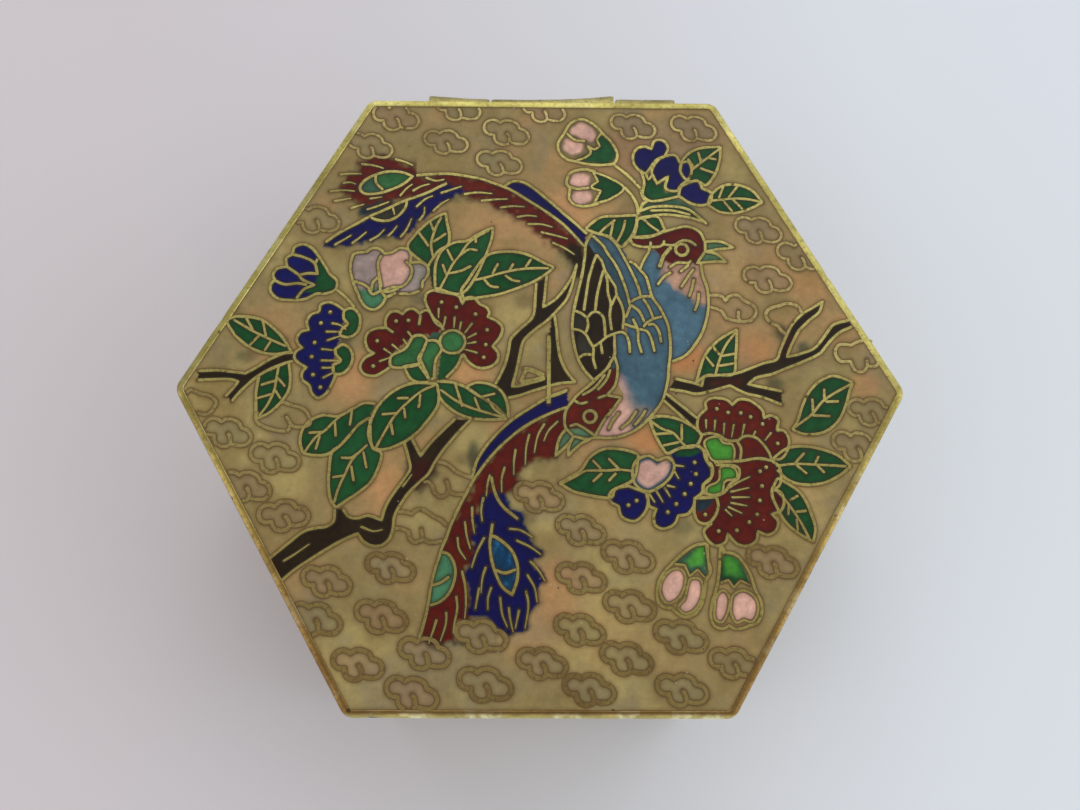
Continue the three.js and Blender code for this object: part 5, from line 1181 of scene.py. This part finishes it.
def side_sheet(design, flip):
    S = Sheet()
    S.kind = "side"

    def f(p):
        return [(flip * q[0], q[1]) + tuple(q[2:]) for q in p]

    stems = (
        "-19.5,-12 -14,-8.2 -9.5,-6 -5,-2.2 0,-1 5.5,1.6 9.5,5.6",
        "-19.5,6 -14,4 -8.5,5.2 -3,2.6 3,2.2 8.5,-1.4 12,-6.4",
        "-3,-14.6 -3.6,-9 -1.4,-4.4 -2.6,.4 .6,4.6 1,9.4",
    )
    main = f(T(stems[design]))
    S.fill("bark", ring([(p[0], p[1] + 0.55 - 0.3 * i / len(main)) for i, p in enumerate(main)], [(p[0], p[1] - 0.55 + 0.3 * i / len(main)) for i, p in reversed(list(enumerate(main)))]))
    S.wire([(p[0], p[1] + 0.55 - 0.3 * i / len(main)) for i, p in enumerate(main)])
    S.wire([(p[0], p[1] - 0.55 + 0.3 * i / len(main)) for i, p in enumerate(main)])
    lv = (
        (((-9.5, -5.6), (-12.6, -.4), 1.7), ((-5, -2.6), (-1.2, -8.2), 1.9), ((1.2, -1), (5.6, -6.6), 1.8), ((-2, -1), (-4.6, 4.6), 1.8), ((5.5, 2), (2.6, 7.4), 1.7), ((9.6, 5.6), (13.8, 9.6), 1.6)),
        (((-14, 3.8), (-16.4, -2), 1.7), ((-8.5, 5.4), (-5, 10), 1.7), ((-3, 2.4), (-6, -3.6), 1.9), ((3, 2.4), (6.6, 7.4), 1.8), ((6, .6), (3.2, -5.2), 1.7), ((12, -6.4), (15.6, -10.6), 1.6)),
        (((-3.4, -9.6), (-9, -12), 1.7), ((-2, -6), (4, -9.6), 1.8), ((-1.6, -4), (-7.4, -2), 1.9), ((-2.6, .6), (4.4, -1.6), 1.8), ((0, 4), (-6, 6.6), 1.8), ((1, 9.4), (5.6, 12.4), 1.6)),
    )[design]
    for b, t, w in lv:
        leaf_at(S, "leaf", *f([b, t]), w, 0.4 * flip)
    bl = (
        (("red", "bright", 9.6, 0.4, 3.4, 6), ("cobalt", "pink", -14.4, -5.2, 2.7, 5), ("pink", "leaf", 0.8, 10, 2.3, 5)),
        (("cobalt", "pink", 9.8, 1.6, 3.2, 6), ("red", "bright", -10.8, -.6, 2.9, 5), ("pink", "leaf", -.8, 8.4, 2.3, 5)),
        (("red", "bright", 3.6, 6, 3.3, 6), ("cobalt", "pink", -6.4, -7.4, 2.7, 5), ("pink", "leaf", 8.2, -4.6, 2.3, 5)),
    )[design]
    for c, h, bx, by, r, n in bl:
        bloom_at(S, c, h, flip * bx, by, r, n, 0.4)
    # clouds wherever the spray leaves room
    taken = np.vstack([w[0] for w in S.wires])
    rng = np.random.default_rng(40 + design + 5 * (flip > 0))
    placed = []
    for row in range(6):
        for c in range(7):
            cx = -17.6 + 5.9 * c + (2.6 if row % 2 else 0) + rng.uniform(-0.5, 0.5)
            cy = -12.1 + 4.85 * row + rng.uniform(-0.4, 0.4)
            if abs(cx) > 17.2 or np.min(np.hypot((taken[:, 0] - cx) / 1.45, taken[:, 1] - cy)) < 2.25:
                continue
            S.cloud(cx, cy, rng.uniform(0.8, 0.92), rng.uniform(-9, 2), flip, colour="cloud")
    return S


def skirt_sheet(seed):
    S = Sheet()
    S.kind = "side"
    rng = np.random.default_rng(seed)
    for c in range(8):
        S.cloud(-17.2 + 4.92 * c + rng.uniform(-0.2, 0.2), rng.uniform(-0.12, 0.12), 0.66, rng.uniform(-6, 6), 1 if c % 2 else -1, colour="cloud")
    return S


def band(name, node, sheets, step, body):
    """Enamel round the six sides: outer face painted, edges and back closed."""
    lo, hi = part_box(node)[0].z / MM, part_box(node)[1].z / MM
    mid = (lo + hi) / 2
    turns = 6
    a = APOTHEM - 0.035
    r = CORNER - 0.035
    flat = 2 * ((a - r) / math.cos(math.pi / 6)) * 0.5  # straight part of one side
    along = int(flat / step)
    outline = hex_ring(0.035, turns, along)
    n = len(outline)
    rows = max(int((hi - lo) / step), 4)
    z = np.linspace(lo, hi, rows + 1)
    seg = np.hypot(*(np.roll(outline, -1, 0) - outline).T)
    s = np.r_[0, np.cumsum(seg)[:-1]]
    total = seg.sum()
    X = np.repeat(outline[None], rows + 1, 0)
    S_ = np.repeat(s[None], rows + 1, 0)
    Z = np.repeat(z[:, None], n, 1)
    # side k lies between corner k and corner k+1; its own coordinate runs from its middle
    per = total / 6
    start = s[turns // 2]
    u = (S_ - start) % total
    which = np.minimum((u / per).astype(int), 5)
    local = u - (which + 0.5) * per
    col = np.zeros((X.shape[0] * X.shape[1], 3))
    wd = np.full(len(col), 1.0)
    kind = np.zeros(len(col))
    for kk in range(6):
        m_ = (which == kk).ravel()
        c_, w_, k_ = paint(sheets[kk], local.ravel()[m_], (Z - mid).ravel()[m_], (), 30 + 7 * kk)
        col[m_], wd[m_], kind[m_] = c_, w_, k_
    base, _, _ = paint(Sheet(), S_.ravel(), Z.ravel() + 100, (), 99)
    ground = kind < 0.5
    # keep the ground continuous round the corners
    fade = step01(per / 2 - 3, per / 2, np.abs(local)).ravel() * ground
    col += (base - col) * fade[:, None]
    rim = np.minimum(Z - lo, hi - Z).ravel()
    wd = np.minimum(wd, rim + 0.15)
    inner = hex_ring(0.55, turns, along)
    front = np.column_stack([X.reshape(-1, 2), Z.ravel()])
    back = np.vstack([np.column_stack([inner, np.full(n, q)]) for q in (lo, hi)])
    verts = np.vstack([front, back])
    i, j = np.meshgrid(np.arange(rows), np.arange(n), indexing="ij")
    i, j = i.ravel(), j.ravel()
    jj = (j + 1) % n
    F = [np.column_stack([i * n + j, i * n + jj, (i + 1) * n + jj, (i + 1) * n + j])]
    b0 = len(front)
    k_ = np.arange(n)
    kk = (k_ + 1) % n
    F.append(np.column_stack([b0 + k_, b0 + kk, kk, k_]))
    F.append(np.column_stack([rows * n + k_, rows * n + kk, b0 + n + kk, b0 + n + k_]))
    F.append(np.column_stack([b0 + n + k_, b0 + n + kk, b0 + kk, b0 + k_]))

    def more(v):
        e = np.concatenate([v[:n], v[rows * n : rows * n + n]])
        return np.concatenate([v, e])

    obj = new_piece(name, verts, np.vstack(F), SIDE_ENAMEL, body, [node], 50, [("col", albedo(more(col))), ("wd", more(wd) * MM), ("kind", more(kind))])

    # wires of each side
    mids = []
    for kk in range(6):
        ang = math.radians(30 + 60 * kk)
        nrm = np.array([math.cos(ang), math.sin(ang)])
        tan = np.array([-nrm[1], nrm[0]])
        mids.append((nrm, tan))
    V, F, at = [], [], 0
    for kk in range(6):
        nrm, tan = mids[kk]

        def place(s_, t_, lift, nrm=nrm, tan=tan):
            p = nrm[None] * (APOTHEM - 0.035 + lift)[:, None] + tan[None] * s_[:, None]
            return np.column_stack([p, t_ + mid])

        v, f = ribbons(sheets[kk].wires, sheets[kk].studs, place, proud=-0.005)
        V.append(v)
        F.append(f + at)
        at += len(v)
    new_piece(name + "_wires", np.vstack(V), np.vstack(F), WIRE_BRASS, body, angle=35)
    return obj


designs = {}
sides = []
for kk in range(6):
    key = (kk % 3, 1 if kk < 3 else -1)
    sides.append(side_sheet(*key))
band("body_band_enamel", "body_enamel_band", sides, 0.42, "body")
band("lid_band_enamel", "lid_enamel_band", [skirt_sheet(60 + kk) for kk in range(6)], 0.3, "lid")


# ---------------------------------------------------------------- metal
def nick(verts, seed, amount=0.03):
    """Small unevenness of hand-finished metal, kept inside the CAD's outline."""
    v = verts.copy()
    r = np.hypot(v[:, 0], v[:, 1])
    w = step01(20, 30, r)
    d = amount * (0.5 + 0.5 * fbm(v[:, 0] + 3 * v[:, 2], v[:, 1] - 2 * v[:, 2], 5.0, seed, 3)) * w
    v[:, :2] *= (1 - d / np.maximum(r, 1))[:, None]
    return v


def lid_metal(v):
    v = nick(v, 81)
    up = v[:, 2] > LID_TOP - 0.35
    out = np.hypot(v[:, 0], v[:, 1])
    near_rim = (out > 30) & up
    v[near_rim, 2] -= 0.012 * (0.5 + 0.5 * fbm(v[near_rim, 0], v[near_rim, 1], 3.0, 83, 2))
    # a small knock in the front edge, and the joint of the border strip at the front right corner
    for cx, cy, r, deep in ((-17.6, -35.5, 1.1, 0.16), (9.0, -35.6, 0.7, 0.07), (33.0, 13.9, 0.8, 0.08), (-36.5, 8.2, 0.9, 0.07)):
        d = np.hypot(v[:, 0] - cx, v[:, 1] - cy)
        w = (1 - step01(0, r, d)) * (v[:, 2] > LID_TOP - 1.0)
        v[:, 2] -= deep * 0.5 * w
        v[:, :2] *= (1 - deep * w / np.maximum(out, 1))[:, None]
    return v


E = 0.2
W = 1.6
L = 0.3
lid_profile = [(None, LID_TOP - 1.55), (W, LID_TOP - 1.55), (W, LID_BOTTOM + 1.1), (W + L, LID_BOTTOM + 1.1), (W + L, LID_BOTTOM + 0.1), (W + L - 0.1, LID_BOTTOM), (E, LID_BOTTOM),
               (0.3 * E, LID_BOTTOM + 0.07), (0, LID_BOTTOM + E), (0, LID_BOTTOM + 1.02), (0.07, LID_BOTTOM + 1.1), (0.57, LID_BOTTOM + 1.1), (0.57, LID_TOP - 0.9), (0.07, LID_TOP - 0.9), (0, LID_TOP - 0.83),
               (0, LID_TOP - E), (0.06, LID_TOP - 0.07), (E, LID_TOP), (0.72, LID_TOP), (0.79, LID_TOP - 0.05), (0.8, LID_TOP - 0.52), (None, LID_TOP - 0.52)]
v, f = turned(lid_profile, 8, 64, lid_metal)
new_piece("lid_metal", v, f, RIM_BRASS, "lid", ["lid_shell"], 32)
floor_z = 0.47
body_profile = [(None, floor_z), (1.0, floor_z), (1.0, 0.05), (0.95, 0), (E, 0), (0.3 * E, 0.07), (0, E), (0, 1.03), (0.07, 1.1), (0.57, 1.1), (0.57, BODY_TOP - 1.1), (0.07, BODY_TOP - 1.1), (0, BODY_TOP - 1.03),
                (0, BODY_TOP - E), (0.3 * E, BODY_TOP - 0.07), (E, BODY_TOP), (W + L - 0.1, BODY_TOP), (W + L, BODY_TOP - 0.1), (W + L, BODY_TOP - 1.1), (W, BODY_TOP - 1.1), (W, floor_z + 1.03), (None, floor_z + 1.03)]
v, f = turned(body_profile, 8, 48, lambda q: nick(q, 85))
new_piece("body_metal", v, f, RIM_BRASS, "body", ["body_shell"], 32)

for node, slot in (("body_lining", "enamel_turquoise"), ("lid_lining", "enamel_turquoise"), ("body_enamel_base", "enamel_turquoise")):
    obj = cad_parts[node]
    obj.data.materials.clear() if not obj.material_slots else None
    for q in obj.material_slots:
        q.material = TURQUOISE


# ---------------------------------------------------------------- hinge
AXIS_Y, AXIS_Z = 37.557, 31.925


def rolled(name, node, stations, side, seed, body):
    """A knuckle rolled from sheet: the end of the roll shows as a step along the barrel."""
    near, far_max, wall, bore, sides_ = 0.1, 0.95, -2.045, 0.62, 56
    xs = np.array([s_[0] for s_ in stations])
    rs = np.array([s_[1] for s_ in stations])
    n = max(int((xs[-1] - xs[0]) / 0.35), 6)
    X = np.linspace(xs[0], xs[-1], n + 1)
    R = np.interp(X, xs, rs) - 0.015
    rng = np.random.default_rng(seed)
    verts, faces = [], []
    m = sides_ + 2
    for i, (xx, rr) in enumerate(zip(X, R)):
        end = min(i, n - i)
        rr2 = rr - (0.07 if end == 0 else 0.02 if end == 1 and (X[1] - X[0]) < 0.2 else 0.0)
        far = min(far_max, rr * 0.75)
        a0 = math.pi - math.asin(near / rr2)
        a1 = math.pi - math.asin(far / rr2)
        sweep = 2 * math.pi - abs(a1 - a0)
        for q in range(sides_):
            t = a0 + side * 0 + (q / (sides_ - 1)) * sweep
            wob = 0.012 * value_noise(xx * 0.9 + seed, q * 0.35, 95)
            rad = rr2 + min(wob, 0.0) - 0.05 * math.exp(-(((q / (sides_ - 1)) - 0.06) / 0.012) ** 2)
            verts.append((xx, AXIS_Y + rad * math.cos(t), AXIS_Z + side * rad * math.sin(t)))
        verts.append((xx, AXIS_Y + wall, AXIS_Z + side * far))
        verts.append((xx, AXIS_Y + wall, AXIS_Z + side * near))
    for i in range(n):
        for q in range(m):
            p = (q + 1) % m
            faces.append((i * m + q, (i + 1) * m + q, (i + 1) * m + p, i * m + p))
    # bore
    b0 = len(verts)
    for i in (0, n):
        for q in range(m):
            yy, zz = verts[i * m + q][1] - AXIS_Y, verts[i * m + q][2] - AXIS_Z
            s_ = bore / math.hypot(yy, zz)
            verts.append((X[i], AXIS_Y + yy * s_, AXIS_Z + zz * s_))
    for q in range(m):
        p = (q + 1) % m
        faces.append((q, p, b0 + p, b0 + q))
        faces.append((n * m + p, n * m + q, b0 + m + q, b0 + m + p))
        faces.append((b0 + q, b0 + p, b0 + m + p, b0 + m + q))
    if side < 0:
        faces = [tuple(reversed(f_)) for f_ in faces]
    return new_piece(name, verts, faces, HINGE_BRASS, body, [node], 38)


rolled("hinge_roll_left", "hinge_knuckle_left", [(-13.9, 1.63), (-11.6, 1.48), (-9.0, 1.34), (-6.5, 1.28)], -1, 1, "body")
rolled("hinge_roll_lid", "hinge_knuckle_lid", [(-6.2, 1.27), (-2.0, 1.25), (2.5, 1.34), (6.0, 1.55), (8.9, 1.8)], 1, 2, "lid")
rolled("hinge_roll_right", "hinge_knuckle_right", [(9.25, 1.4), (12.5, 1.38), (16.5, 1.41)], -1, 3, "body")
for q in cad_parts["hinge_pin"].material_slots:
    q.material = HINGE_BRASS
# ---------------------------------------------------------------- floor, light and camera
def stage_floor():
    mesh = bpy.data.meshes.new("floor")
    s = 1.5
    mesh.from_pydata([(-s, -s, 0), (s, -s, 0), (s, s, 0), (-s, s, 0)], [], [(0, 1, 2, 3)])
    obj = bpy.data.objects.new("floor", mesh)
    bpy.context.scene.collection.objects.link(obj)
    n = Nodes("pale_floor")
    tone = n.node("ShaderNodeSeparateXYZ")
    n.put(tone.inputs[0], n.coord)
    # painted light: the floor is painted pinker and darker on the left, bluer and brighter on the right, standing in
    # for tinted side light
    painted_side_light = n.span(n.math("ADD", tone.outputs[0], n.math("MULTIPLY", n.noise(9, 2, 0.5), 0.03)), -0.07, 0.08, 0, 1)
    col = n.mix(painted_side_light, (0.765, 0.715, 0.745), (0.87, 0.925, 0.99))
    n.put(n.bsdf.inputs["Base Color"], col)
    n.put(n.bsdf.inputs["Roughness"], n.span(n.noise(300, 2, 0.5), 0, 1, 0.5, 0.6))
    n.bsdf.inputs["Specular IOR Level"].default_value = 0.15
    mesh.materials.append(n.mat)


stage_floor()

world = bpy.data.worlds.new("studio")
bpy.context.scene.world = world
world.use_nodes = True
wt = world.node_tree
bg = wt.nodes["Background"]
geo = wt.nodes.new("ShaderNodeTexCoord")
split = wt.nodes.new("ShaderNodeSeparateXYZ")
wt.links.new(geo.outputs["Generated"], split.inputs[0])


def wmath(op, a, b):
    nd = wt.nodes.new("ShaderNodeMath")
    nd.operation = op
    for s_, v_ in zip(nd.inputs, (a, b)):
        if isinstance(v_, bpy.types.NodeSocket):
            wt.links.new(v_, s_)
        else:
            s_.default_value = v_
    return nd.outputs[0]


lean = wmath("ADD", wmath("MULTIPLY", split.outputs[1], 0.9), wmath("MULTIPLY", split.outputs[0], 0.42))
ramp = wt.nodes.new("ShaderNodeValToRGB")
wt.links.new(wmath("ADD", wmath("MULTIPLY", lean, 0.5), 0.5), ramp.inputs[0])
els = ramp.color_ramp.elements
els[0].position, els[0].color = 0.30, (0.52, 0.50, 0.50, 1)
els[1].position, els[1].color = 0.82, (1.1, 1.12, 1.15, 1)
for pos, c in ((0.42, (0.34, 0.31, 0.29, 1)), (0.50, (0.26, 0.24, 0.23, 1)), (0.58, (0.52, 0.52, 0.53, 1)), (0.70, (1.0, 1.01, 1.03, 1))):
    e = els.new(pos)
    e.color = c
wt.links.new(ramp.outputs[0], bg.inputs["Color"])
bg.inputs["Strength"].default_value = 0.90


def soft_light(name, at, aim, size, power, colour):
    data = bpy.data.lights.new(name, "AREA")
    data.shape = "RECTANGLE"
    data.size, data.size_y = size
    data.energy = power
    data.color = colour
    obj = bpy.data.objects.new(name, data)
    obj.location = at
    obj.rotation_mode = "QUATERNION"
    obj.rotation_quaternion = (Vector(aim) - Vector(at)).to_track_quat("-Z", "Y")
    bpy.context.scene.collection.objects.link(obj)


soft_light("window_back", (0.25, 1.1, 1.1), (0, 0, 0.02), (1.4, 0.9), 1.9, (0.96, 0.98, 1.0))
soft_light("fill_left", (-1.0, -0.2, 1.2), (0, 0, 0.02), (1.0, 1.0), 2.45, (1.0, 0.95, 0.93))
soft_light("fill_right", (1.1, -0.3, 1.0), (0, 0, 0.02), (1.0, 1.0), 3.4, (0.94, 0.97, 1.0))
soft_light("fill_front", (0.10, -0.8, 0.3), (0, 0, 0.02), (0.5, 0.25), 0.7, (1.0, 0.98, 0.94))

camera = bpy.data.cameras.new("camera")
camera.lens = 38.333
camera.sensor_width = 36.0
camera.clip_start, camera.clip_end = 0.005, 20
view = bpy.data.objects.new("camera", camera)
right = Vector((0.99991, 0.00342, 0.01280))
up = Vector((-0.00630, 0.97277, 0.23168))
back = Vector((-0.01166, -0.23174, 0.97271))
m = Matrix((right, up, back)).transposed().to_4x4()
m.translation = Vector((-0.0016256, -0.0314522, 0.1629367))
view.matrix_world = m
bpy.context.scene.collection.objects.link(view)
bpy.context.scene.camera = view
bpy.context.scene.view_settings.view_transform = "Standard"

bpy.context.view_layer.update()
